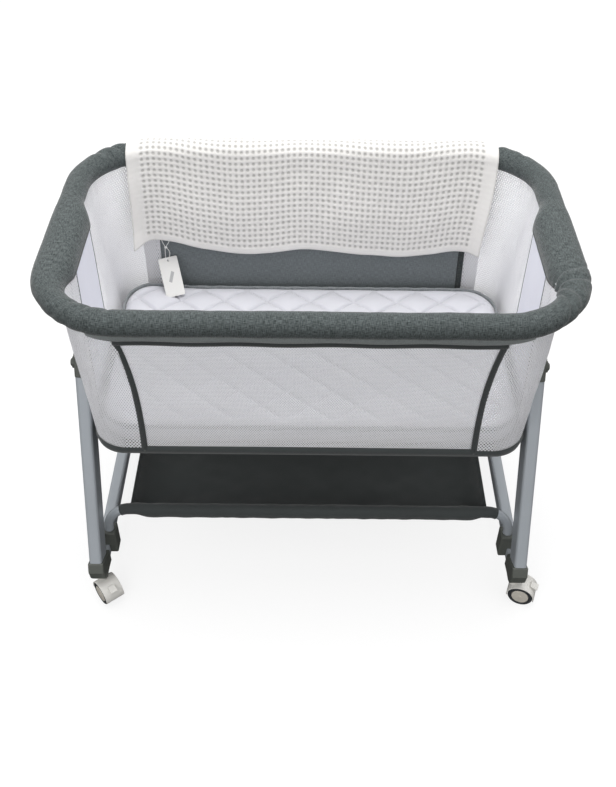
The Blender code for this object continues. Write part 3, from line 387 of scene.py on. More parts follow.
def waffle_cotton():
    """Thick cotton woven in square cells: raised soft ribs round pits that hold shade, and flat borders."""
    colours = bpy.context.scene.bassinet_colours
    sizes = bpy.context.scene.bassinet_sizes
    material, tree, shader = new_material(
        "waffle_cotton", roughness=0.95, sheen_weight=0.4, sheen_roughness=0.5, specular_ior_level=0.2
    )
    woven = add(tree, "ShaderNodeAttribute", attribute_name="woven").outputs["Fac"]
    cells = cloth_map(tree, sizes.cell_across, sizes.cell_down)
    cell = add(tree, "ShaderNodeSeparateXYZ", {"Vector": cells})
    level = woven
    for label in ("X", "Y"):
        turn = add(tree, "ShaderNodeMath", {0: cell.outputs[label], 1: math.tau}, operation="MULTIPLY")
        wave = add(tree, "ShaderNodeMath", {0: turn.outputs[0]}, operation="COSINE")
        dip = add(tree, "ShaderNodeMath", {0: wave.outputs[0], 1: -0.5, 2: 0.5}, operation="MULTIPLY_ADD")
        level = add(tree, "ShaderNodeMath", {0: level, 1: dip.outputs[0]}, operation="MULTIPLY").outputs[0]
    deep = add(tree, "ShaderNodeMapRange", {
        "Value": level, "From Min": 0.02, "From Max": 0.85, "To Min": 0.0, "To Max": 0.60,
    }, interpolation_type="SMOOTHSTEP")
    shade = add(tree, "ShaderNodeMix", {
        "Factor": deep.outputs[0], 6: rgba(colours.waffle), 7: rgba(linear("908e8a")),
    }, data_type="RGBA")
    tree.links.new(shade.outputs[2], shader.inputs["Base Color"])
    yarn = add(tree, "ShaderNodeTexWave", {
        "Vector": cloth_map(tree, 0.0018, 0.0018), "Scale": ONE_BAND, "Distortion": 1.5, "Detail": 2.0,
    }, bands_direction="X")
    sunk = add(tree, "ShaderNodeMath", {
        0: level, 1: -6.0, 2: yarn.outputs["Fac"],
    }, operation="MULTIPLY_ADD")
    bump_into(tree, shader, sunk.outputs[0], 0.0004, 0.8)
    return material


def powder_coat():
    """Powder coat on steel tube: an even satin grey with a faint orange peel of about 1 mm."""
    colours = bpy.context.scene.bassinet_colours
    material, tree, shader = new_material("powder_coat", metallic=0.25, roughness=0.38)
    place = add(tree, "ShaderNodeTexCoord").outputs["Object"]
    shade = clouded(tree, place, 14.0, 4.0, rgba(colours.coat, 0.94), rgba(colours.coat, 1.04))[1]
    tree.links.new(shade, shader.inputs["Base Color"])
    peel = add(tree, "ShaderNodeTexNoise", {"Vector": place, "Scale": 900.0, "Detail": 2.0})
    bump_into(tree, shader, peel.outputs[0], 0.0002, 0.25)
    return material


def moulded_plastic(name, colour, roughness=0.5, grain=600.0, depth=0.0002):
    """Injection-moulded plastic with a fine spark-eroded grain, about 1.5 mm, and slightly uneven shine."""
    material, tree, shader = new_material(name, roughness=roughness)
    place = add(tree, "ShaderNodeTexCoord").outputs["Object"]
    cloud, shade = clouded(tree, place, 40.0, 4.0, rgba(colour, 0.92), rgba(colour, 1.06))
    tree.links.new(shade, shader.inputs["Base Color"])
    rough = add(tree, "ShaderNodeMapRange", {
        "Value": cloud.outputs[0], "To Min": roughness - 0.07, "To Max": roughness + 0.07,
    })
    tree.links.new(rough.outputs[0], shader.inputs["Roughness"])
    grains = add(tree, "ShaderNodeTexNoise", {"Vector": place, "Scale": grain, "Detail": 2.0})
    bump_into(tree, shader, grains.outputs[0], depth, 0.3)
    return material


def bare_steel():
    """Dark zinc-plated steel tube and rod, with a cloudy half-shine."""
    material, tree, shader = new_material("plated_steel", metallic=0.9, roughness=0.4)
    place = add(tree, "ShaderNodeTexCoord").outputs["Object"]
    cloud, shade = clouded(tree, place, 30.0, 5.0, rgba(linear("5b5e60")), rgba(linear("7c8082")))
    tree.links.new(shade, shader.inputs["Base Color"])
    bump_into(tree, shader, cloud.outputs[0], 0.0001, 0.2)
    return material


def smoothstep(value):
    """0 below 0, 1 above 1, and a soft turn between."""
    value = np.clip(value, 0, 1)
    return value * value * (3 - 2 * value)


def bell(value, width):
    """1 at zero, fading to nothing past about twice the width."""
    return np.exp(-((value / width) ** 2))


def through(line, places):
    """Heights at those places on a smooth curve through a line of (place, height) points."""
    xs = np.array([point[0] for point in line])
    ys = np.array([point[1] for point in line])
    slopes = np.gradient(ys, xs)
    here = np.clip(np.searchsorted(xs, places) - 1, 0, len(xs) - 2)
    step = xs[here + 1] - xs[here]
    t = np.clip((places - xs[here]) / step, 0, 1)
    low = (1 + 2 * t) * (1 - t) ** 2 * ys[here] + t * (1 - t) ** 2 * step * slopes[here]
    return low + t * t * (3 - 2 * t) * ys[here + 1] - t * t * (1 - t) * step * slopes[here + 1]


def ripple(points, size, seed):
    """Smooth noise from -1 to 1 at each point of a grid, with bumps of that size in metres."""
    flat = points.reshape(-1, 3) / size + seed
    return np.array([noise.noise(Vector(point)) for point in flat]).reshape(points.shape[:-1])


def normals_of(grid, closed=(False, False)):
    """Unit normals of a grid of points, which go round where a direction is closed."""
    steps = []
    for axis in (0, 1):
        if closed[axis]:
            steps.append(np.roll(grid, -1, axis) - np.roll(grid, 1, axis))
        else:
            steps.append(np.gradient(grid, axis=axis))
    normal = np.cross(steps[1], steps[0])
    return normal / np.maximum(np.linalg.norm(normal, axis=2, keepdims=True), 1e-12)


def grid_lengths(grid, closed):
    """Metres along each row and each column of a grid, with one more where that direction is closed."""
    rows = np.concatenate([grid, grid[:, :1]], 1) if closed[1] else grid
    columns = np.concatenate([grid, grid[:1]], 0) if closed[0] else grid
    across = np.linalg.norm(np.diff(rows, axis=1), axis=2).mean(0)
    along = np.linalg.norm(np.diff(columns, axis=0), axis=2).mean(1)
    return np.concatenate([[0], np.cumsum(across)]), np.concatenate([[0], np.cumsum(along)])


def cloth_mesh(name, grid, material, closed=(False, False), values=None, cloth=None):
    """A smooth-shaded piece through a grid of points, rows by columns, with cloth coordinates in metres."""
    rows, columns = grid.shape[:2]
    row_count = rows if closed[0] else rows - 1
    column_count = columns if closed[1] else columns - 1
    row, column = np.meshgrid(np.arange(row_count), np.arange(column_count), indexing="ij")
    row, column = row.ravel(), column.ravel()
    corners = [(row, column), (row, column + 1), (row + 1, column + 1), (row + 1, column)]
    faces = np.stack([(r % rows) * columns + (c % columns) for r, c in corners], 1)
    mesh = bpy.data.meshes.new(name)
    mesh.from_pydata(grid.reshape(-1, 3).tolist(), [], faces.tolist())
    across, along = cloth or grid_lengths(grid, closed)
    layer = mesh.uv_layers.new(name="Cloth")
    place = np.stack([np.stack([across[c], along[r]], 1) for r, c in corners], 1)
    layer.data.foreach_set("uv", place.reshape(-1).astype(np.float32))
    for label, value in (values or {}).items():
        attribute = mesh.attributes.new(label, "FLOAT", "POINT")
        attribute.data.foreach_set("value", value.reshape(-1).astype(np.float32))
    mesh.shade_smooth()
    piece = bpy.data.objects.new(name, mesh)
    bpy.context.scene.collection.objects.link(piece)
    mesh.materials.append(material)
    return piece


def select_only(active, *others):
    """Selects these pieces and nothing else, and makes the first one active."""
    bpy.ops.object.select_all(action="DESELECT")
    for piece in (active, *others):
        piece.select_set(True)
    bpy.context.view_layer.objects.active = active


def face_outwards(merge=None):
    """Merges the edited mesh's doubles where asked, points its faces outwards and leaves edit mode."""
    bpy.ops.mesh.select_all(action="SELECT")
    if merge:
        bpy.ops.mesh.remove_doubles(threshold=merge)
    bpy.ops.mesh.normals_make_consistent(inside=False)
    bpy.ops.object.mode_set(mode="OBJECT")


def refinish(piece, material):
    """Gives a piece one material in place of what it has."""
    piece.data.materials.clear()
    piece.data.materials.append(material)


def apply_modifiers(piece):
    """Applies each of the piece's modifiers in turn."""
    for modifier in list(piece.modifiers):
        with bpy.context.temp_override(object=piece, active_object=piece, selected_objects=[piece]):
            bpy.ops.object.modifier_apply(modifier=modifier.name)
    return piece


def thicken(piece, thickness):
    """Gives a sheet its thickness, half on each side."""
    modifier = piece.modifiers.new("Thickness", "SOLIDIFY")
    modifier.thickness = thickness
    modifier.offset = 0.0
    return apply_modifiers(piece)


def surface_area(grid):
    """Square metres of a grid of points."""
    side_a = np.diff(grid, axis=0)[:, :-1]
    side_b = np.diff(grid, axis=1)[:-1]
    return float(np.linalg.norm(np.cross(side_a, side_b), axis=2).sum())


# A flat size is never less than the area that the sheet is sewn to.
ROUNDING_ROOM = 1.0001


def place(piece, body, slot, replaced=()):
    """Hangs a finished piece on its body and hides the frame parts that it stands for; the slot is not
    used.
    """
    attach(piece, body)
    if replaced:
        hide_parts(*replaced)
    return piece


def make_sheet(name, grid, material, thickness, body, slot, replaced=()):
    """A sheet of cloth through a grid of points, thickened and hung on its body."""
    across, along = grid_lengths(grid, (False, False))
    area = surface_area(grid)
    width, length = float(across[-1]), float(along[-1])
    if width * length < area:
        length = area / width * ROUNDING_ROOM
    piece = thicken(cloth_mesh(name, grid, material), thickness)
    place(piece, body, slot, replaced)
    return piece


def around(half_x, half_y, radius, metres):
    """Points and outward directions on a rounded rectangle, metres round from its right end's middle."""
    flat_x, flat_y, turn = half_x - radius, half_y - radius, math.pi / 2 * radius
    lengths = np.array([flat_y, turn, 2 * flat_x, turn, 2 * flat_y, turn, 2 * flat_x, turn, flat_y])
    starts = np.concatenate([[0], np.cumsum(lengths)])
    metres = np.asarray(metres) % starts[-1]
    part = np.clip(np.searchsorted(starts, metres, side="right") - 1, 0, 8)
    into = metres - starts[part]
    quarter = part // 2
    bend = np.where(part % 2 == 1, into / radius, 0)
    angle = quarter * math.pi / 2 + bend
    normal = np.stack([np.cos(angle), np.sin(angle)], -1)
    centre_x = np.array([1, 1, 0, -1, -1, -1, 0, 1, 1])[part] * flat_x
    centre_y = np.array([0, 1, 1, 1, 0, -1, -1, -1, 0])[part] * flat_y
    slide = np.where(part == 0, into, 0) + np.where(part == 8, into - flat_y, 0)
    slide_y = slide + np.where(part == 4, flat_y - into, 0)
    slide_x = np.where(part == 2, flat_x - into, 0) + np.where(part == 6, into - flat_x, 0)
    centres = np.stack([centre_x + slide_x, centre_y + slide_y], -1)
    return centres + radius * normal, normal


def girth(half_x, half_y, radius):
    """Metres round a rounded rectangle."""
    return 4 * (half_x + half_y - 2 * radius) + math.tau * radius


def hub_reach(y):
    """How much of the hub cover's section the rim has at that Y."""
    return smoothstep((y - COVER_LOW.y + 0.070) / 0.110) * smoothstep((COVER_HIGH.y + 0.050 - y) / 0.070)


class BASSINET_OT_rim_padding(bpy.types.Operator):
    """Sews the padded sleeve round the rim, with its soft covers over the hubs"""

    bl_idname = "bassinet.rim_padding"
    bl_label = "Rim padding"

    def execute(self, context):
        whole = girth(RIM_HALF_X, RIM_HALF_Y, RIM_CORNER)
        stations, section = 840, 44
        metres = np.arange(stations) / stations * whole
        line, outward = around(RIM_HALF_X, RIM_HALF_Y, RIM_CORNER, metres)
        angle = np.arange(section) / section * math.tau
        cos, sin = np.cos(angle)[None, :], np.sin(angle)[None, :]
        share = hub_reach(line[:, 1])
        at_end = (np.abs(line[:, 0]) > RIM_HALF_X - 0.02)
        share = (share * at_end)[:, None]

        # The plain sleeve is round, and a little flatter below, where it is sewn to the wall.
        out = PAD_RADIUS * cos * np.ones_like(share)
        up = PAD_RADIUS * np.where(sin > 0, sin, sin * 0.93) * np.ones_like(share)

        # Over a hub the sleeve opens into a soft inverted trough.
        outer_edge = COVER_HIGH.x - RIM_HALF_X
        inner_edge = COVER_LOW.x - RIM_HALF_X
        wall = 0.0035
        half = (outer_edge - inner_edge) / 2
        bottom = COVER_LOW.z - RIM_Z
        height = COVER_HIGH.z - COVER_LOW.z
        skin = np.where(sin >= 0, 0, wall)
        trough_out = (outer_edge + inner_edge) / 2 + (half - skin) * np.sign(cos) * np.abs(cos) ** 0.75
        trough_up = bottom + (height - skin) * np.abs(sin) ** 0.75
        out = out * (1 - share) + trough_out * share
        up = up * (1 - share) + trough_up * share

        # Folds and slack
        radial = np.zeros_like(out)
        top_angle = (angle[None, :] - math.pi / 2 + math.pi) % math.tau - math.pi
        for start, slant, depth, width, span in RIM_FOLDS:
            away = metres[:, None] - start - slant * top_angle
            wave = -bell(away, width) + 0.35 * bell(np.abs(away) - 2.2 * width, 1.4 * width)
            radial += depth * wave * bell(top_angle, span)
        points = np.zeros((stations, section, 3))
        points[:, :, :2] = line[:, None, :]
        points[:, :, :2] += outward[:, None, :] * out[:, :, None]
        points[:, :, 2] = RIM_Z + up
        radial += 0.0009 * ripple(points, 0.045, 3.0) + 0.0004 * ripple(points, 0.014, 9.0)
        middle_line = np.concatenate([line, np.full((stations, 1), RIM_Z)], 1)[:, None, :]
        direction = points - middle_line
        direction /= np.maximum(np.linalg.norm(direction, axis=2, keepdims=True), 1e-9)
        points += direction * (radial * (1 - 0.6 * share))[:, :, None]
        points[:, :, 2] = np.minimum(points[:, :, 2], COVER_HIGH.z + 0.003)
        piece = cloth_mesh("rim_padding", points[::-1], linen(), (True, True))
        place(piece, "bassinet", "grey_fabric", (
            "rim_pad_front", "rim_pad_rear", "hub_cover_left", "hub_cover_right",
        ))
        return {"FINISHED"}


def wall_columns(front_x, back_x, counts):
    """The right half of the shell's plan at the base and at the rim, from the front zip to the back."""
    front, corner, end = counts
    parts = []
    for loop in range(2):
        half_x, half_y, radius = (
            (BASE_HALF_X, BASE_HALF_Y, BASE_CORNER),
            (RIM_HALF_X - END_INSET, RIM_HALF_Y - WALL_INSET, RIM_CORNER - END_INSET),
        )[loop]
        flat_x, flat_y = half_x - radius, half_y - radius
        points = []
        start = front_x[loop]
        for step in range(front):
            points.append((start + (flat_x - start) * step / front, -half_y))
        for step in range(corner):
            angle = -math.pi / 2 + math.pi / 2 * step / corner
            points.append((flat_x + radius * math.cos(angle), -flat_y + radius * math.sin(angle)))
        for step in range(end + 1):
            points.append((half_x, -flat_y + 2 * flat_y * step / end))
        for step in range(1, corner + 1):
            angle = math.pi / 2 * step / corner
            points.append((flat_x + radius * math.cos(angle), flat_y + radius * math.sin(angle)))
        for step in range(1, front + 1):
            points.append((flat_x + (back_x - flat_x) * step / front, half_y))
        parts.append(np.array(points))
    return parts


def zip_place(z):
    """How far the zip stands from the middle at that height: upright low down, then flaring out."""
    share = np.clip((z - BASE_HIGH.z) / (RIM_LOW.z - BASE_HIGH.z), 0, 1)
    return 0.3025 - 0.005 * np.sin(share * math.pi * 0.8) + 0.022 * share ** 3


def wall_share(z):
    """How far up the walls a height is, from 0 at the base to 1 at the rim."""
    return (z - WALL_BOTTOM) / (WALL_TOP - WALL_BOTTOM)


def lean(share):
    """How far a wall has come out from the base to the rim at that share of its height."""
    return np.maximum(share, 0) ** 1.15


def long_wall_y(share):
    """Distance of the long walls from the middle at that share of their height."""
    low, high = BASE_HALF_Y - 0.001, RIM_HALF_Y - WALL_INSET
    return low + (high - low) * lean(share)


class BASSINET_OT_end_walls(bpy.types.Operator):
    """Sews the mesh end walls, their solid strips and the dark seams between"""

    bl_idname = "bassinet.end_walls"
    bl_label = "End walls"

    def execute(self, context):
        sizes = context.scene.bassinet_sizes
        mesh_cloth = net()
        strip_cloth = smooth_knit("strip_twill", context.scene.bassinet_colours.strip)
        seam_thread = charcoal_cloth("seam_thread", 1.6)
        zip_low = float(zip_place(WALL_BOTTOM))
        zip_high = float(zip_place(WALL_TOP))
        back_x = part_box("back_panel")[1].x + 0.0004
        run = 14
        low, high = wall_columns((zip_low, zip_high), back_x, (run, 26, 48))
        rows = 40
        share = np.linspace(0, 1, rows)
        for side, sign in SIDES.items():
            grid = np.zeros((rows, len(low), 3))
            for index, part in enumerate(share):
                plan = low + (high - low) * lean(part)
                # Beside the leg the wall stays upright and joins the inner edge of the hub cover.
                near_leg = hub_reach(plan[:, 1]) ** 0.7
                limit = COVER_LOW.x + 0.0025
                held = np.minimum(plan[:, 0], limit)
                plan[:, 0] = plan[:, 0] * (1 - near_leg) + held * near_leg
                grid[index, :, :2] = plan
                grid[index, :, 2] = WALL_BOTTOM + (WALL_TOP - WALL_BOTTOM) * part
            front_edge = zip_place(grid[:, 0, 2]) - grid[:, 0, 0]
            for column in range(run):
                grid[:, column, 0] += front_edge * (1 - column / run)
            normal = normals_of(grid)
            outward = np.sign((normal[:, :, :2] * grid[:, :, :2]).sum(2, keepdims=True)) * normal
            edge = np.sin(share * math.pi)[:, None] ** 0.8
            ends = np.sin(np.linspace(0, 1, len(low)) * math.pi)[None, :] ** 0.5
            slack = 0.0045 * ripple(grid * (1, 1, 0.45), 0.085, 5.0 + sign)
            slack = slack + 0.0018 * ripple(grid, 0.03, 8.0)
            # The cloth is gathered where it is sewn into the rim.
            gather = np.sin(np.arange(len(low)) * 1.9)[None, :]
            puckers = 0.0016 * gather * bell(share - 1, 0.10)[:, None]
            clear = 1 - 0.85 * hub_reach(grid[:, :, 1])
            baggy = 0.006 * smoothstep((-0.17 - grid[:, :, 1]) / 0.03) * edge * ends
            grid += outward * ((baggy - np.abs(slack) * edge * ends - puckers) * clear)[:, :, None]
            grid[:, :, 0] *= sign
            if sign > 0:
                grid = grid[:, ::-1]
            y = grid[rows // 2, :, 1]
            inside = (y > sizes.strap_front) & (y < sizes.strap_rear)
            first, last = np.nonzero(inside)[0][[0, -1]]
            spans = {
                f"mesh_wall_{side}_a": (0, first + 1, mesh_cloth, "white_mesh"),
                f"end_strip_{side}": (first, last + 1, strip_cloth, "white_mesh"),
                f"mesh_wall_{side}_b": (last, len(low), mesh_cloth, "white_mesh"),
            }
            for name, (start, end, cloth, slot) in spans.items():
                replaced = (f"mesh_end_{side}",) if "strip" in name else ()
                make_sheet(
                    name, grid[:, start:end], cloth, sizes.cloth, "bassinet", slot,
                    replaced,
                )
            for index, column in enumerate((first, last)):
                seam = tube_mesh(f"strip_seam_{side}_{index}", grid[:, column], 0.0011, seam_thread, 8)
                place(seam, "bassinet", "dark_fabric")
        return {"FINISHED"}


def tube_mesh(name, line, radius, material, sides, swell=None):
    """A round closed tube along a line of points, its radius swelling where swell says."""
    line = np.asarray(line, float)
    tangent = np.gradient(line, axis=0)
    tangent /= np.linalg.norm(tangent, axis=1, keepdims=True)
    across = np.zeros_like(tangent)
    guide = np.array([0.0, 0.0, 1.0]) if abs(tangent[0][2]) < 0.9 else np.array([0.0, 1.0, 0.0])
    for index, direction in enumerate(tangent):
        guide = guide - direction * (guide @ direction)
        guide /= np.linalg.norm(guide)
        across[index] = guide
    other = np.cross(tangent, across)
    angle = np.arange(sides) / sides * math.tau
    sizes = np.full((len(line), sides), radius) if swell is None else radius + swell
    ring = across[:, None] * np.cos(angle)[None, :, None] + other[:, None] * np.sin(angle)[None, :, None]
    grid = line[:, None] + ring * sizes[:, :, None]
    piece = cloth_mesh(name, grid, material, (False, True))
    # Each open end is closed by one face.
    mesh = piece.data
    select_only(piece)
    bpy.ops.object.mode_set(mode="EDIT")
    bpy.ops.mesh.select_all(action="DESELECT")
    bpy.ops.mesh.select_non_manifold()
    bpy.ops.mesh.edge_face_add()
    face_outwards()
    mesh.shade_smooth()
    mesh.set_sharp_from_angle(angle=HOOD_SHARP_EDGE)
    return piece


class BASSINET_OT_front_panel(bpy.types.Operator):
    """Hangs the mesh front panel from its hinge line, and the zips beside and above it"""

    bl_idname = "bassinet.front_panel"
    bl_label = "Front panel and zips"

    def execute(self, context):
        sizes = context.scene.bassinet_sizes
        half_zip = sizes.zip_width / 2
        low, high = PANEL_LOW.z, PANEL_HIGH.z
        rows, columns = 46, 110
        share = np.linspace(0, 1, rows)[:, None]
        height = low + (high - low) * share
        across = np.linspace(-1, 1, columns)[None, :]
        edge = zip_place(height) - half_zip - 0.0004
        grid = np.zeros((rows, columns, 3))
        grid[:, :, 0] = across * edge
        grid[:, :, 2] = height
        grid[:, :, 1] = -long_wall_y(wall_share(height))
        calm = np.sin(share * math.pi) * (1 - across ** 6)
        grid[:, :, 1] += 0.005 * calm + 0.0035 * ripple(grid * (0.5, 1, 1), 0.07, 2.0) * calm
        make_sheet(
            "front_mesh_cloth", grid[:, ::-1], net("front_warp_knit", 0.30, 0.0023, 0.0034), sizes.cloth,
            "front_panel", "white_mesh", ("front_mesh_panel",),
        )

        tape = charcoal_cloth("zip_tape_nylon", 0.9)
        for side, sign in SIDES.items():
            z = np.linspace(WALL_BOTTOM - 0.004, WALL_TOP - 0.004, 60)
            middle_x = sign * zip_place(z)
            y = -long_wall_y(wall_share(z)) - 0.0006
            profile = np.array([-1, -0.85, -0.35, 0, 0.35, 0.85, 1]) * half_zip
            rise = np.array([0.0, 0.0012, 0.0016, 0.0024, 0.0016, 0.0012, 0.0])
            grid = np.zeros((len(z), len(profile), 3))
            grid[:, :, 0] = middle_x[:, None] + profile[None, :]
            grid[:, :, 1] = y[:, None] - rise[None, :]
            grid[:, :, 2] = z[:, None]
            make_sheet(
                f"zip_cloth_{side}", grid[:, ::-1], tape, 0.0012, "bassinet", "dark_fabric",
                (f"zip_tape_{side}",),
            )

        # A narrow linen welt hangs under the rim, and the zip's dark line runs below it.
        top_zip = float(zip_place(high)) + 0.004
        welt = linen("linen_welt", linear("9aa0a0"), linear("868c8c"))
        # Each band: its body, lower and upper edge, how far it stands off, how much longer than the zip,
        # its cloth and slot, and the frame part that it stands for.
        bands = {
            "front_welt": (
                "bassinet", high + 0.0005, RIM_LOW.z + 0.010, 0.0085, 0.045, welt, "grey_fabric",
                ("front_skirt",),
            ),
            "top_zip": (
                "front_panel", high - 0.0115, high - 0.0005, 0.0030, 0.0, tape, "dark_fabric", (),
            ),
        }
        bend = RIM_CORNER - 0.01
        for name, (body, bottom, top, stand, longer, cloth, slot, replaced) in bands.items():
            x = np.linspace(-1, 1, 150)[None, :] * (top_zip + longer)
            share = np.linspace(0, 1, 12)[:, None]
            z = bottom + (top - bottom) * share
            grid = np.zeros((12, 150, 3))
            flat = RIM_HALF_X - RIM_CORNER
            past = np.maximum(np.abs(x) - flat, 0)
            turn = np.minimum(past / bend, 1)
            reach = np.minimum(np.abs(x), flat) + bend * np.sin(turn) * (past > 0)
            grid[:, :, 0] = np.sign(x) * reach
            grid[:, :, 2] = z
            wall = long_wall_y(wall_share(z))
            grid[:, :, 1] = -(wall - bend * (1 - np.cos(turn)))
            grid[:, :, 1] -= stand * np.sin(share * math.pi * 0.75 + 0.5) + 0.0012
            grid[:, :, 2] += 0.0010 * np.sin(x * 41) * (1 - share)
            make_sheet(name, grid[:, ::-1], cloth, 0.0012, body, slot, replaced)
        return {"FINISHED"}


class BASSINET_OT_back_panel(bpy.types.Operator):
    """Sews the linen back panel and the darker tape at its right end"""

    bl_idname = "bassinet.back_panel"
    bl_label = "Back panel"

    def execute(self, context):
        sizes = context.scene.bassinet_sizes
        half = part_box("back_panel")[1].x
        rows, columns = 40, 90
        share = np.linspace(0, 1, rows)[:, None]
        grid = np.zeros((rows, columns, 3))
        grid[:, :, 0] = np.linspace(-half, half, columns)[None, :]
        grid[:, :, 1] = long_wall_y(share)
        grid[:, :, 2] = WALL_BOTTOM + (WALL_TOP - WALL_BOTTOM) * share
        calm = np.sin(share * math.pi)
        grid[:, :, 1] += 0.0025 * calm * ripple(grid * (0.5, 1, 1), 0.08, 6.0)
        cloth = linen("linen_back", linear("7e8486"), linear("656b6d"))
        make_sheet(
            "back_cloth", grid, cloth, sizes.cloth, "bassinet", "grey_fabric",
            ("back_panel",),
        )
        dark = linen("linen_tape", linear("4c5050"), linear("303434"))
        tape = np.zeros((rows, 5, 3))
        tape[:, :, 0] = half + np.linspace(-0.006, 0.006, 5)[None, :]
        tape[:, :, 1] = grid[:, [-1], 1] - 0.0013
        tape[:, :, 2] = grid[:, :5, 2]
        make_sheet("back_tape", tape, dark, 0.0010, "bassinet", "grey_fabric")
        return {"FINISHED"}


def pillow(half_x, half_y, corner, low, high, columns, rows, side_roll):
    """Top and bottom grids of a rounded pad that meet at its edge, and each point's distance inside."""
    x, y = np.meshgrid(np.linspace(-1, 1, columns), np.linspace(-1, 1, rows))
    x, y = x * half_x, y * half_y
    over_x = np.abs(x) - (half_x - corner)
    over_y = np.abs(y) - (half_y - corner)
    in_corner = (over_x > 0) & (over_y > 0)
    reach = np.maximum(np.hypot(over_x, over_y), 1e-9)
    pull = np.where(in_corner, np.maximum(over_x, over_y) / reach, 1)
    new_x = np.where(in_corner, np.sign(x) * (half_x - corner + over_x * pull), x)
    new_y = np.where(in_corner, np.sign(y) * (half_y - corner + over_y * pull), y)
    inside = np.where(
        in_corner, corner - reach * pull, np.minimum(half_x - np.abs(x), half_y - np.abs(y))
    )
    roll = 1 - np.clip(inside / side_roll, 0, 1)
    lift = np.sqrt(np.maximum(0, 1 - roll ** 2))
    half_height = (high - low) / 2
    top = np.stack([new_x, new_y, (low + high) / 2 + half_height * lift], -1)
    bottom = np.stack([new_x, new_y, (low + high) / 2 - half_height * lift], -1)
    return top, bottom, inside


def close_pad(name, top, bottom, material, values=None):
    """One closed pad from a top and a bottom grid with the same outline."""
    blank = {label: np.zeros_like(value) for label, value in (values or {}).items()}
    lid = cloth_mesh(name, top, material, values=values)
    under = cloth_mesh(f"{name}_under", bottom[:, ::-1], material, values=blank)
    select_only(lid, under)
    bpy.ops.object.join()
    bpy.ops.object.mode_set(mode="EDIT")
    face_outwards(merge=0.00005)
    lid.data.shade_smooth()
    return lid


class BASSINET_OT_base_and_mattress(bpy.types.Operator):
    """Makes the cloth-covered base, the quilted mattress and its bound edge"""

    bl_idname = "bassinet.base_and_mattress"
    bl_label = "Base and mattress"

    def execute(self, context):
        sizes = context.scene.bassinet_sizes
        board_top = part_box("base_board")[1].z
        cover = 0.0022
        top, bottom, inside = pillow(
            BASE_HALF_X + cover, BASE_HALF_Y + cover, BASE_CORNER, BASE_LOW.z, BASE_HIGH.z + 0.006,
            300, 170, 0.005,
        )
        # The covered edge stands round the mattress's foot, above the board.
        sunk = smoothstep((inside - 0.006) / 0.004)
        top[:, :, 2] = top[:, :, 2] * (1 - sunk) + (board_top - 0.0005) * sunk
        wave = 0.0010 * ripple(bottom, 0.05, 12.0)
        bottom[:, :, 2] += np.abs(wave) * smoothstep(inside / 0.02)
        base = close_pad("base_pad", top, bottom, charcoal_cloth("base_oxford", 1.15))
        place(base, "bassinet", "dark_fabric", ("base_binding", "base_board"))

        half_x, half_y = MATTRESS_HIGH.x, MATTRESS_HIGH.y
        top, bottom, inside = pillow(
            half_x, half_y, MATTRESS_CORNER, MATTRESS_LOW.z, MATTRESS_HIGH.z, 330, 190, 0.020
        )
        x, y = top[:, :, 0], top[:, :, 1]
        lines_a, lines_b = (x + y * 1.15) / sizes.quilt, (x - y * 1.15) / sizes.quilt
        puff = np.sqrt(np.abs(np.sin(math.pi * lines_a)) * np.abs(np.sin(math.pi * lines_b)))
        near = smoothstep((inside - 0.004) / 0.03)
        seam = np.maximum(*[bell(np.sin(math.pi * lines), 0.10) for lines in (lines_a, lines_b)])
        top[:, :, 2] += near * (0.0070 * puff - 0.0035 * seam - 0.0020)
        top[:, :, 2] += near * 0.0012 * ripple(top, 0.03, 4.0)
        for part in (top, bottom):
            lift = bell(np.hypot(part[:, :, 0] + half_x, part[:, :, 1] - half_y), RAISED_REACH)
            part[:, :, 2] += RAISED_CORNER * lift
        # The seam attribute marks where the knit is painted darker, as painted shade in the quilting dips.
        mattress = close_pad("quilted_mattress", top, bottom, quilted_knit(), {"seam": seam * near})
        place(mattress, "bassinet", "mattress_fabric", ("mattress",))

        # A grey tape is bound over the mattress's upper edge.
        metres = np.linspace(0, girth(half_x, half_y, MATTRESS_CORNER), 421)[:-1]
        inset = 0.0025
        line, outward = around(half_x - inset, half_y - inset, MATTRESS_CORNER - inset, metres)
        rise = bell(np.hypot(line[:, 0] + half_x, line[:, 1] - half_y), RAISED_REACH) * RAISED_CORNER
        section = np.linspace(0, math.tau, 13)[:-1]
        tape_height = 0.0065
        grid = np.zeros((len(line), 12, 3))
        grid[:, :, :2] = line[:, None] + outward[:, None] * (0.0022 * np.cos(section))[None, :, None]
        grid[:, :, 2] = MATTRESS_HIGH.z - 0.0075 + rise[:, None] + tape_height * np.sin(section)[None, :]
        grid[:, :, 2] += 0.0006 * np.sin(metres * 160)[:, None]
        cloth = linen("tape_linen", linear("9ea2a4"), linear("7c8082"))
        tape = cloth_mesh("mattress_tape", grid[::-1], cloth, (True, True))
        place(tape, "bassinet", "grey_fabric")
        return {"FINISHED"}


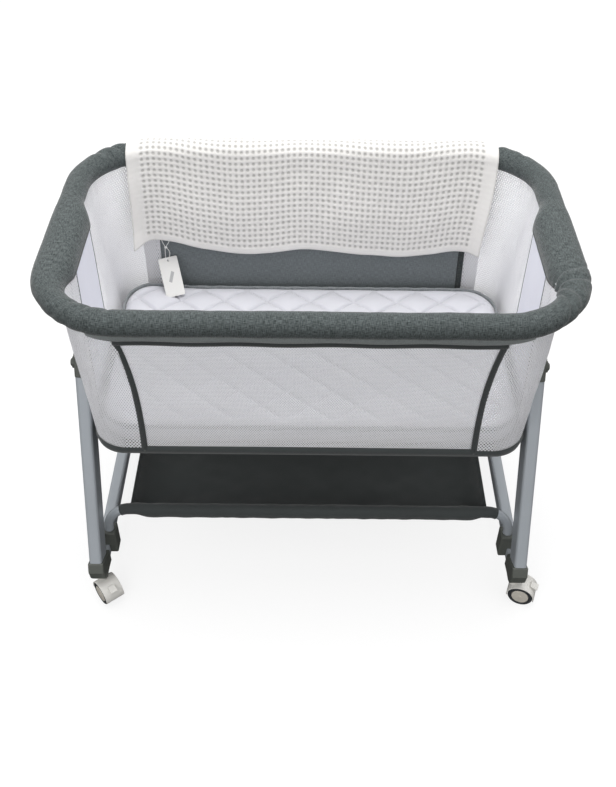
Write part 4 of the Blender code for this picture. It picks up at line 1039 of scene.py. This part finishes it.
class BASSINET_OT_blanket(bpy.types.Operator):
    """Drapes the waffle blanket over the rear rail"""

    bl_idname = "bassinet.blanket"
    bl_label = "Blanket"

    def execute(self, context):
        sizes = context.scene.bassinet_sizes
        half = BLANKET_HIGH.x
        cells = round(2 * half / sizes.cell_across)
        columns = 3 * cells + 1
        x = np.linspace(-half, half, columns)
        rail_y = RIM_HALF_Y
        radius = PAD_RADIUS + 0.0035
        hem = through(HEM_LINE, x)
        back_hem = BLANKET_LOW.z + 0.004 * np.sin(x * 17) + 0.003
        corner_x = RIM_HALF_X - RIM_CORNER
        bend = np.arcsin(np.clip((np.abs(x) - corner_x) / RIM_CORNER, 0, 1))
        rail = rail_y - RIM_CORNER * (1 - np.cos(bend))
        reach = radius / np.cos(bend)
        front_drop = RIM_Z - hem
        turn = math.pi * radius
        back_drop = RIM_Z - back_hem
        length = float((front_drop + turn + back_drop).mean())
        rows = 3 * round(length / sizes.cell_down) + 1
        share = np.linspace(0, 1, rows)[:, None]
        along = share * (front_drop + turn + back_drop)[None, :]
        before = np.clip(front_drop[None, :] - along, 0, None)
        over = np.clip((along - front_drop[None, :]) / turn, 0, 1)
        after = np.clip(along - (front_drop + turn)[None, :], 0, None)
        angle = math.pi * (1 - over)
        grid = np.zeros((rows, columns, 3))
        grid[:, :, 0] = x[None, :]
        slope = (RIM_HALF_Y - BASE_HALF_Y) / (RIM_Z - BASE_HIGH.z) * 0.9
        grid[:, :, 1] = rail[None, :] + reach[None, :] * np.cos(angle) - slope * before
        grid[:, :, 2] = RIM_Z + radius * np.sin(angle) - before - after

        # Soft folds that deepen towards the hems
        front_fold = smoothstep(before / 0.14)
        wave = np.sin(x * 23 + 0.6) * 0.6 + np.sin(x * 37 - 1.1) * 0.4
        grid[:, :, 1] -= front_fold * (0.007 * (wave[None, :] * 0.5 + 0.5) + 0.002)
        grid[:, :, 1] += 0.0020 * ripple(grid * (1, 0, 0.7), 0.055, 15.0) * smoothstep(before / 0.03)
        back_fold = smoothstep(after / 0.30)
        grid[:, :, 1] += back_fold * (0.008 * np.sin(x * 29 + 0.4) + 0.004 * np.sin(x * 51))[None, :]
        grid[:, :, 1] -= 0.002 * back_fold
        grid[:, :, 2] += 0.0014 * ripple(grid * (1, 0, 1), 0.06, 21.0) * np.sin(math.pi * over) ** 2

        # The lower left corner curls forward into a small tip.
        tip = bell(np.hypot(grid[:, :, 0] + half, (grid[:, :, 2] - hem[0])), 0.020) * (before > 0)
        grid[:, :, 1] -= 0.010 * tip
        grid[:, :, 2] -= 0.004 * tip
        side_curl = bell(np.abs(grid[:, :, 0]) - half, 0.012) * smoothstep(before / 0.05)
        grid[:, :, 1] -= 0.004 * side_curl
        grid[:, :, 0] -= 0.018 * smoothstep(before / 0.22) * np.clip(grid[:, :, 0] / half, 0, 1) ** 2

        # Waffle cells inside plain borders
        from_side = half - np.abs(x)[None, :] * np.ones_like(share)
        from_hem = np.minimum(share, 1 - share) * length
        plain_side, plain_hem = 0.019, 0.009
        woven = smoothstep((from_side - plain_side) / 0.003) * smoothstep((from_hem - plain_hem) / 0.003)
        rib = np.maximum((np.arange(columns) % 3 == 0)[None, :], (np.arange(rows) % 3 == 0)[:, None]) * 1.0
        normal = normals_of(grid)
        facing = np.where((normal[:, :, 1:2] * -1 + normal[:, :, 2:3]) > 0, 1, -1)
        outside = normal * np.where(over[:, :, None] > 0.99, -facing, facing)
        relief = woven * (rib - 0.5) * sizes.cell_depth
        ribs = (1 - woven) * 0.0004 * np.where(np.arange(rows)[:, None] % 3 == 0, 1, -0.5)
        grid += outside * (relief + ribs * (from_side < plain_side))[:, :, None]
        weave = (np.arange(columns) / 3 * sizes.cell_across, np.arange(rows) / 3 * sizes.cell_down)
        piece = cloth_mesh("waffle_blanket", grid, waffle_cotton(), values={"woven": woven}, cloth=weave)
        thicken(piece, sizes.blanket_cloth)
        place(piece, "bassinet", "waffle_cotton", ("blanket",))
        return {"FINISHED"}


def smooth_line(points, spacing):
    """Points at about that spacing on a smooth curve through the given points."""
    given = [Vector(point) for point in points]
    ends = [2 * given[0] - given[1], *given, 2 * given[-1] - given[-2]]
    made = []
    for here in range(1, len(ends) - 2):
        before, start, end, after = ends[here - 1 : here + 3]
        steps = max(1, round((end - start).length / spacing))
        for step in range(steps):
            t = step / steps
            bend = 2 * before - 5 * start + 4 * end - after
            twist = 3 * start - before - 3 * end + after
            made.append((2 * start + (end - before) * t + bend * t * t + twist * t**3) / 2)
    return [*made, given[-1]]


class BASSINET_OT_hang_tag(bpy.types.Operator):
    """Makes the card tag, its doubled string and the bead on it"""

    bl_idname = "bassinet.hang_tag"
    bl_label = "Hang tag"

    def execute(self, context):
        tag = frame["nodes"]["hang_tag"]
        refinish(tag, plain_card())
        line = smooth_line(STRING_POINTS, STRING_DIAMETER * 2)
        curve = bpy.data.curves.new("cotton_string", "CURVE")
        curve.dimensions = "3D"
        curve.bevel_depth = STRING_DIAMETER / 2
        curve.bevel_resolution = 3
        curve.use_fill_caps = True
        spline = curve.splines.new("POLY")
        spline.points.add(len(line) - 1)
        for point, where in zip(spline.points, line):
            point.co = (*where, 1)
        string = bpy.data.objects.new("cotton_string", curve)
        context.scene.collection.objects.link(string)
        # The cord is matt, and the grain stands in for its fine twist.
        curve.materials.append(moulded_plastic("cotton_cord", linear("e9e8e4"), 0.9, 1400.0, 0.0003))
        place(string, "bassinet", "white_string", ("tag_string",))

        bpy.ops.object.select_all(action="DESELECT")
        bpy.ops.mesh.primitive_uv_sphere_add(segments=20, ring_count=12, radius=0.0026)
        bead = context.object
        bead.name = "string_bead"
        bead.data.name = "string_bead"
        bpy.ops.object.mode_set(mode="EDIT")
        bpy.ops.mesh.select_all(action="SELECT")
        bpy.ops.transform.resize(value=(1.25, 0.8, 1.0))
        bpy.ops.transform.translate(value=(-0.3023, 0.2229, 0.5138))
        bpy.ops.object.mode_set(mode="OBJECT")
        bead.data.shade_smooth()
        bead.data.materials.append(moulded_plastic("bead_plastic", linear("efefec"), 0.3))
        place(bead, "bassinet", "light_plastic")
        return {"FINISHED"}


def plain_card():
    """White pasteboard with a plain grey block in place of any print."""
    material, tree, shader = new_material("white_pasteboard", roughness=0.55)
    centre = middle("hang_tag")
    place_on = add(tree, "ShaderNodeTexCoord").outputs["Object"]
    around_middle = add(tree, "ShaderNodeMapping", {
        "Vector": place_on, "Location": (-centre.x, 0, -centre.z),
    }).outputs["Vector"]
    turned = add(tree, "ShaderNodeMapping", {
        "Vector": around_middle, "Rotation": (0, TAG_TURN, 0),
    }).outputs["Vector"]
    parts = add(tree, "ShaderNodeSeparateXYZ", {"Vector": turned})
    inside = []
    for label, half in (("X", 0.0033), ("Z", 0.0080)):
        away = add(tree, "ShaderNodeMath", {0: parts.outputs[label]}, operation="ABSOLUTE")
        near = add(tree, "ShaderNodeMath", {0: away.outputs[0], 1: half}, operation="LESS_THAN")
        inside.append(near.outputs[0])
    block = add(tree, "ShaderNodeMath", {0: inside[0], 1: inside[1]}, operation="MULTIPLY").outputs[0]
    soft = add(tree, "ShaderNodeMath", {0: block, 1: 0.7}, operation="MULTIPLY").outputs[0]
    shade = add(tree, "ShaderNodeMix", {
        "Factor": soft, 6: rgba(linear("dddcd9")), 7: rgba(linear("8a8b8e")),
    }, data_type="RGBA")
    tree.links.new(shade.outputs[2], shader.inputs["Base Color"])
    fibre = add(tree, "ShaderNodeTexNoise", {"Vector": place_on, "Scale": 700.0, "Detail": 2.0})
    bump_into(tree, shader, fibre.outputs[0], 0.0001, 0.2)
    return material


def rail_line(way):
    """The basket rail's middle line, from its right socket up, along and down to its left one."""
    half_x = RAIL_HIGH.x - RAIL_RADIUS
    top = RAIL_HIGH.z - RAIL_RADIUS
    bend = 0.045
    foot_y, top_y = 0.205, 0.195
    points = [(half_x, foot_y, RAIL_LOW.z), (half_x, foot_y, (RAIL_LOW.z + top - bend) / 2)]
    for step in range(13):
        angle = math.pi / 2 * step / 12
        rise = math.sin(angle)
        x = half_x - bend + bend * math.cos(angle)
        points.append((x, foot_y + (top_y - foot_y) * rise, top - bend + bend * rise))
    for step in range(1, 60):
        points.append((half_x - bend - (half_x - bend) * 2 * step / 60, top_y, top))
    mirrored = [(-x, y, z) for x, y, z in reversed(points[:15])]
    return np.array([(x, way * y, z) for x, y, z in [*points, *mirrored]])


class BASSINET_OT_basket(bpy.types.Operator):
    """Bends the basket's rails and hangs the charcoal basket from them"""

    bl_idname = "bassinet.basket"
    bl_label = "Storage basket"

    def execute(self, context):
        coat = bpy.data.materials.get("powder_coat") or powder_coat()
        cloth = charcoal_cloth("basket_oxford", 1.0)
        half_x, half_y = BASKET_HIGH.x, BASKET_HIGH.y
        for name, way in (("front", -1), ("rear", 1)):
            rail = tube_mesh(f"rail_{name}", rail_line(way), RAIL_RADIUS, coat, 24)
            place(rail, "stand", "light_tube", (f"basket_tube_{name}",))
            # The basket's hem is a sleeve round the rail, with a gathered mouth at each end.
            line = rail_line(way)
            line = line[np.abs(line[:, 0]) < half_x + 0.020]
            reach = np.concatenate([[0], np.cumsum(np.linalg.norm(np.diff(line, axis=0), axis=1))])
            steps = np.linspace(0, reach[-1], 170)
            run = np.stack([np.interp(steps, reach, line[:, axis]) for axis in range(3)], 1)
            angle = np.arange(20) / 20 * math.tau
            round_it = np.stack([0 * angle, np.cos(angle), np.sin(angle)], 1)[None]
            loose = 0.0022 * np.abs(ripple(run[:, None] + 0.02 * round_it, 0.03, 30.0 + way))
            mouth = bell(np.abs(run[:, 0]) - half_x - 0.018, 0.010)[:, None]
            within = smoothstep((half_x - 0.010 - np.abs(run[:, :1])) / 0.03)
            belly = 0.0090 * bell(angle - math.pi, 0.9)[None] * within
            swell = 0.0016 + belly + loose * (1 - mouth) + 0.0006 * mouth * np.sin(angle * 5)[None]
            sleeve = tube_mesh(f"basket_sleeve_{name}", run, RAIL_RADIUS, cloth, 20, swell)
            place(sleeve, "stand", "dark_fabric")
        top = RAIL_HIGH.z - RAIL_RADIUS
        floor = BASKET_LOW.z + 0.0015
        rows, columns = 90, 150
        y = np.linspace(-1, 1, rows)[:, None]
        x = np.linspace(-1, 1, columns)[None, :]
        across = half_y - 0.0085
        grid = np.zeros((rows, columns, 3))
        drop_y = 1 - np.abs(y) ** 9
        drop_x = 1 - np.abs(x) ** 22
        grid[:, :, 0] = x * (half_x - 0.001)
        grid[:, :, 1] = y * across
        end_rise = (BASKET_HIGH.z - 0.004 - floor) * (1 - drop_x)
        rail_rise = (top - 0.003 - floor) * (1 - drop_y)
        sag = 0.004 * (1 - y ** 2) * (1 - x ** 2)
        rise = np.maximum(end_rise * np.ones_like(y), rail_rise * np.ones_like(x))
        grid[:, :, 2] = floor + rise + 0.004 - sag
        plan = grid * (1, 1, 0)
        crumple = 0.0030 * ripple(plan, 0.09, 40.0) + 0.0012 * ripple(plan, 0.03, 44.0)
        grid[:, :, 2] += np.maximum(crumple, -0.002) * drop_y * drop_x
        make_sheet(
            "basket_cloth", grid, cloth, 0.0014, "stand", "dark_fabric",
            ("storage_basket",),
        )
        return {"FINISHED"}


class BASSINET_OT_casters(bpy.types.Operator):
    """Models the casters' hoods, tyres and discs"""

    bl_idname = "bassinet.casters"
    bl_label = "Casters"

    def execute(self, context):
        colours = context.scene.bassinet_colours
        ivory = moulded_plastic("ivory_abs", colours.ivory, 0.32, 300.0, 0.0001)
        disc_ivory = moulded_plastic("disc_abs", linear("d9d3c8"), 0.4, 300.0, 0.0001)
        tyre_grey = moulded_plastic("tyre_polyurethane", linear("35373a"), 0.6, 500.0, 0.0002)
        for side in SIDES:
            joint = JOINTS[f"caster_{side}_spin"]
            axis = Vector(joint["axis"]).normalized()
            centre = Vector(joint["pos_m"])
            turn = Matrix.Translation(centre) @ axis.to_track_quat("Z", "Y").to_matrix().to_4x4()
            for which in ("outer", "inner"):
                node = f"caster_wheel_{side}_{which}"
                along = (middle(node) - centre).dot(axis)
                width = 0.0125
                outside = along + math.copysign(width / 2, along)
                inside = along - math.copysign(width / 2, along)
                tyre = turned_ring(f"caster_tyre_{side}_{which}", [
                    (0.0175, inside), (0.0235, inside), (0.0250, inside * 0.85 + outside * 0.15),
                    (0.0250, inside * 0.15 + outside * 0.85), (0.0235, outside), (0.0195, outside),
                    (0.0185, outside * 0.96 + inside * 0.04), (0.0175, outside * 0.9 + inside * 0.1),
                ], tyre_grey, turn)
                place(tyre, f"wheels_{side}", "caster_wheel", (node,))
                disc = turned_ring(f"caster_disc_{side}_{which}", [
                    (0.0034, inside), (0.0172, inside), (0.0172, outside * 0.92 + inside * 0.08),
                    (0.0164, outside * 1.02 - inside * 0.02), (0.0140, outside * 1.04 - inside * 0.04),
                    (0.0060, outside * 1.05 - inside * 0.05), (0.0034, outside * 1.05 - inside * 0.05),
                ], disc_ivory, turn)
                place(disc, f"wheels_{side}", "caster_wheel")
                cap = turned_ring(f"caster_cap_{side}_{which}", [
                    (0.0006, outside * 0.98 + inside * 0.02), (0.0040, outside * 0.98 + inside * 0.02),
                    (0.0038, outside * 1.09 - inside * 0.09), (0.0006, outside * 1.10 - inside * 0.10),
                ], disc_ivory, turn)
                place(cap, f"wheels_{side}", "caster_wheel")
            self.make_hood(side, turn, centre, ivory)
            lever = frame["nodes"][f"brake_lever_{side}"]
            lever.data.materials.clear()
            lever.data.materials.append(ivory)
        return {"FINISHED"}

    def make_hood(self, side, turn, centre, material):
        """The hood over both wheels: a shell with rolled edges, a web between the wheels, and the stem."""
        bpy.ops.object.select_all(action="DESELECT")
        bpy.ops.mesh.primitive_cylinder_add(
            vertices=72, radius=0.0280, depth=0.0405, end_fill_type="NOTHING"
        )
        hood = bpy.context.object
        hood.name = f"caster_cover_{side}"
        hood.data.name = hood.name
        hood.data.transform(turn)
        bpy.ops.object.mode_set(mode="EDIT")
        bpy.ops.mesh.select_all(action="SELECT")
        low_point = (centre.x, centre.y, centre.z - 0.0042)
        bpy.ops.mesh.bisect(plane_co=low_point, plane_no=(0, 0, 1), clear_inner=True, clear_outer=False)
        face_outwards()
        thick = hood.modifiers.new("Thickness", "SOLIDIFY")
        thick.thickness = 0.0024
        thick.offset = -1
        rounding = hood.modifiers.new("Rounding", "BEVEL")
        rounding.width = 0.0010
        rounding.segments = 3
        rounding.limit_method = "ANGLE"
        rounding.angle_limit = HOOD_SHARP_EDGE
        apply_modifiers(hood)

        bpy.ops.object.select_all(action="DESELECT")
        bpy.ops.mesh.primitive_cylinder_add(vertices=48, radius=0.0262, depth=0.0080)
        web = bpy.context.object
        web.data.transform(turn)
        bpy.ops.object.mode_set(mode="EDIT")
        bpy.ops.mesh.select_all(action="SELECT")
        low_point = (centre.x, centre.y, centre.z - 0.008)
        bpy.ops.mesh.bisect(plane_co=low_point, plane_no=(0, 0, 1), use_fill=True, clear_inner=True)
        bpy.ops.object.mode_set(mode="OBJECT")
        swivel = JOINTS[f"caster_{side}_swivel"]["pos_m"]
        over_stem = Matrix.Translation((swivel[0], swivel[1], 0))
        boss = turned_ring(f"stem_boss_{side}", [
            (0.0006, 0.0440), (0.0095, 0.0440), (0.0090, 0.0535), (0.0080, 0.0590), (0.0006, 0.0590),
        ], material, over_stem)
        stem = turned_ring(f"stem_rod_{side}", [
            (0.0006, 0.0560), (0.0050, 0.0560), (0.0050, 0.0800), (0.0045, 0.0812), (0.0006, 0.0812),
        ], material, over_stem)
        select_only(hood, web, boss, stem)
        bpy.ops.object.join()
        refinish(hood, material)
        hood.data.shade_smooth()
        hood.data.set_sharp_from_angle(angle=SHARP_EDGE)
        place(hood, f"caster_{side}", "light_plastic", (f"caster_hood_{side}",))


def turned_ring(name, profile, material, turn, steps=56):
    """A closed profile of (radius, height) points spun about the Z axis, then moved by a matrix."""
    mesh = bpy.data.meshes.new(name)
    count = len(profile)
    points = [(radius, 0, height) for radius, height in profile]
    mesh.from_pydata(points, [(step, (step + 1) % count) for step in range(count)], [])
    piece = bpy.data.objects.new(name, mesh)
    bpy.context.scene.collection.objects.link(piece)
    select_only(piece)
    bpy.ops.object.mode_set(mode="EDIT")
    bpy.ops.mesh.select_all(action="SELECT")
    bpy.ops.mesh.spin(steps=steps, angle=math.tau, center=(0, 0, 0), axis=(0, 0, 1))
    face_outwards(merge=0.00002)
    mesh.transform(turn)
    mesh.shade_smooth()
    mesh.set_sharp_from_angle(angle=SHARP_EDGE)
    mesh.materials.append(material)
    return piece


class BASSINET_OT_frame_finish(bpy.types.Operator):
    """Gives the stand's tubes, brackets and fixings their finishes"""

    bl_idname = "bassinet.frame_finish"
    bl_label = "Frame finishes"

    def execute(self, context):
        colours = context.scene.bassinet_colours
        coat = bpy.data.materials.get("powder_coat") or powder_coat()
        plastic = moulded_plastic("grey_polypropylene", colours.plastic, 0.5)
        steel = bare_steel()
        rubber = moulded_plastic("black_rubber", linear("1c1c1c"), 0.85)
        finishes = {
            "outer_leg": coat, "base_bar": coat, "basket_tube": coat,
            "inner_leg": steel, "hub_pin": steel, "caster_axle": steel, "rim_tube": steel,
            "leg_head": plastic, "collar": plastic, "height_button": plastic, "rim_hub": plastic,
            "front_foot": plastic, "rear_foot": plastic, "basket_socket": plastic,
            "rear_glide": rubber,
        }
        for name, node in frame["nodes"].items():
            for start, material in finishes.items():
                if name.startswith(start):
                    refinish(node, material)
        return {"FINISHED"}


class BASSINET_OT_stage(bpy.types.Operator):
    """Sets the floor, the lights and the camera"""

    bl_idname = "bassinet.stage"
    bl_label = "Stage"

    def execute(self, context):
        scene = context.scene
        bpy.ops.object.select_all(action="DESELECT")
        bpy.ops.mesh.primitive_plane_add(size=14)
        floor = context.object
        floor.name = "floor"
        material, tree, shader = new_material("white_floor", roughness=0.9)
        shader.inputs["Base Color"].default_value = (0.22, 0.22, 0.22, 1)
        shader.inputs["Emission Color"].default_value = (1, 1, 1, 1)
        shader.inputs["Emission Strength"].default_value = 0.80
        floor.data.materials.append(material)
        # The bright floor doesn't light the object from below.
        floor.visible_diffuse = False
        floor.visible_glossy = False
        world = bpy.data.worlds.new("studio")
        world.use_nodes = True
        tree = world.node_tree
        around_us = add(tree, "ShaderNodeTexCoord").outputs["Generated"]
        height = add(tree, "ShaderNodeSeparateXYZ", {"Vector": around_us}).outputs["Z"]
        sky = add(tree, "ShaderNodeMapRange", {
            "Value": height, "From Min": -0.06, "From Max": 0.02, "To Min": 0.05, "To Max": 0.76,
        }).outputs[0]
        tree.links.new(sky, tree.nodes["Background"].inputs["Strength"])
        tree.nodes["Background"].inputs["Color"].default_value = (1, 1, 1, 1)
        scene.world = world
        lamps = {
            "top_softbox": ((0.0, 0.4, 2.9), (0.0, 0.05, 0.4), 1.8, 52),
            "front_fill": ((-0.9, -2.6, 2.2), (0.0, 0.0, 0.45), 1.8, 24),
        }
        for name, (where, aim, size, power) in lamps.items():
            light = bpy.data.lights.new(name, "AREA")
            light.size = size
            light.energy = power
            lamp = bpy.data.objects.new(name, light)
            scene.collection.objects.link(lamp)
            lamp.location = where
            lamp.rotation_euler = (Vector(aim) - Vector(where)).to_track_quat("-Z", "Y").to_euler()
        camera = bpy.data.objects.new("camera", bpy.data.cameras.new("camera"))
        scene.collection.objects.link(camera)
        camera.location = (-0.001, -1.421, 1.654)
        down, aside, roll = (math.radians(angle) for angle in (43.4, 0.1, 0.5))
        tilt = Euler((math.pi / 2 - down, 0, aside)).to_matrix()
        camera.rotation_euler = (tilt @ Matrix.Rotation(roll, 3, "Z")).to_euler()
        camera.data.sensor_width = 36
        camera.data.lens = 43.501906  # millimetres
        scene.camera = camera
        scene.view_settings.view_transform = "Standard"
        return {"FINISHED"}


class BASSINET_PT_parts(bpy.types.Panel):
    """Lists the sizes, the colours and the parts that can be made"""

    bl_idname = "BASSINET_PT_parts"
    bl_label = "Bassinet"
    bl_space_type = "VIEW_3D"
    bl_region_type = "UI"
    bl_category = "Bassinet"

    def draw(self, context):
        for group in (context.scene.bassinet_sizes, context.scene.bassinet_colours):
            box = self.layout.box()
            for name in group.bl_rna.properties.keys():
                if name not in ("rna_type", "name"):
                    box.prop(group, name)
        for operator in OPERATORS:
            self.layout.operator(operator.bl_idname)


OPERATORS = (
    BASSINET_OT_stage,
    BASSINET_OT_hang_tag,
    BASSINET_OT_frame_finish,
    BASSINET_OT_rim_padding,
    BASSINET_OT_end_walls,
    BASSINET_OT_front_panel,
    BASSINET_OT_back_panel,
    BASSINET_OT_base_and_mattress,
    BASSINET_OT_blanket,
    BASSINET_OT_basket,
    BASSINET_OT_casters,
)
CLASSES = (BassinetSizes, BassinetColours, *OPERATORS, BASSINET_PT_parts)


def register():
    """Adds the classes and the scene's settings."""
    for cls in CLASSES:
        bpy.utils.register_class(cls)
    bpy.types.Scene.bassinet_sizes = bpy.props.PointerProperty(type=BassinetSizes)
    bpy.types.Scene.bassinet_colours = bpy.props.PointerProperty(type=BassinetColours)


def unregister():
    """Removes the classes and the scene's settings."""
    del bpy.types.Scene.bassinet_colours
    del bpy.types.Scene.bassinet_sizes
    for cls in reversed(CLASSES):
        bpy.utils.unregister_class(cls)


def main():
    """Makes every piece in order."""
    register()
    for operator in OPERATORS:
        group, name = operator.bl_idname.split(".")
        getattr(getattr(bpy.ops, group), name)()


if __name__ == "__main__":
    main()
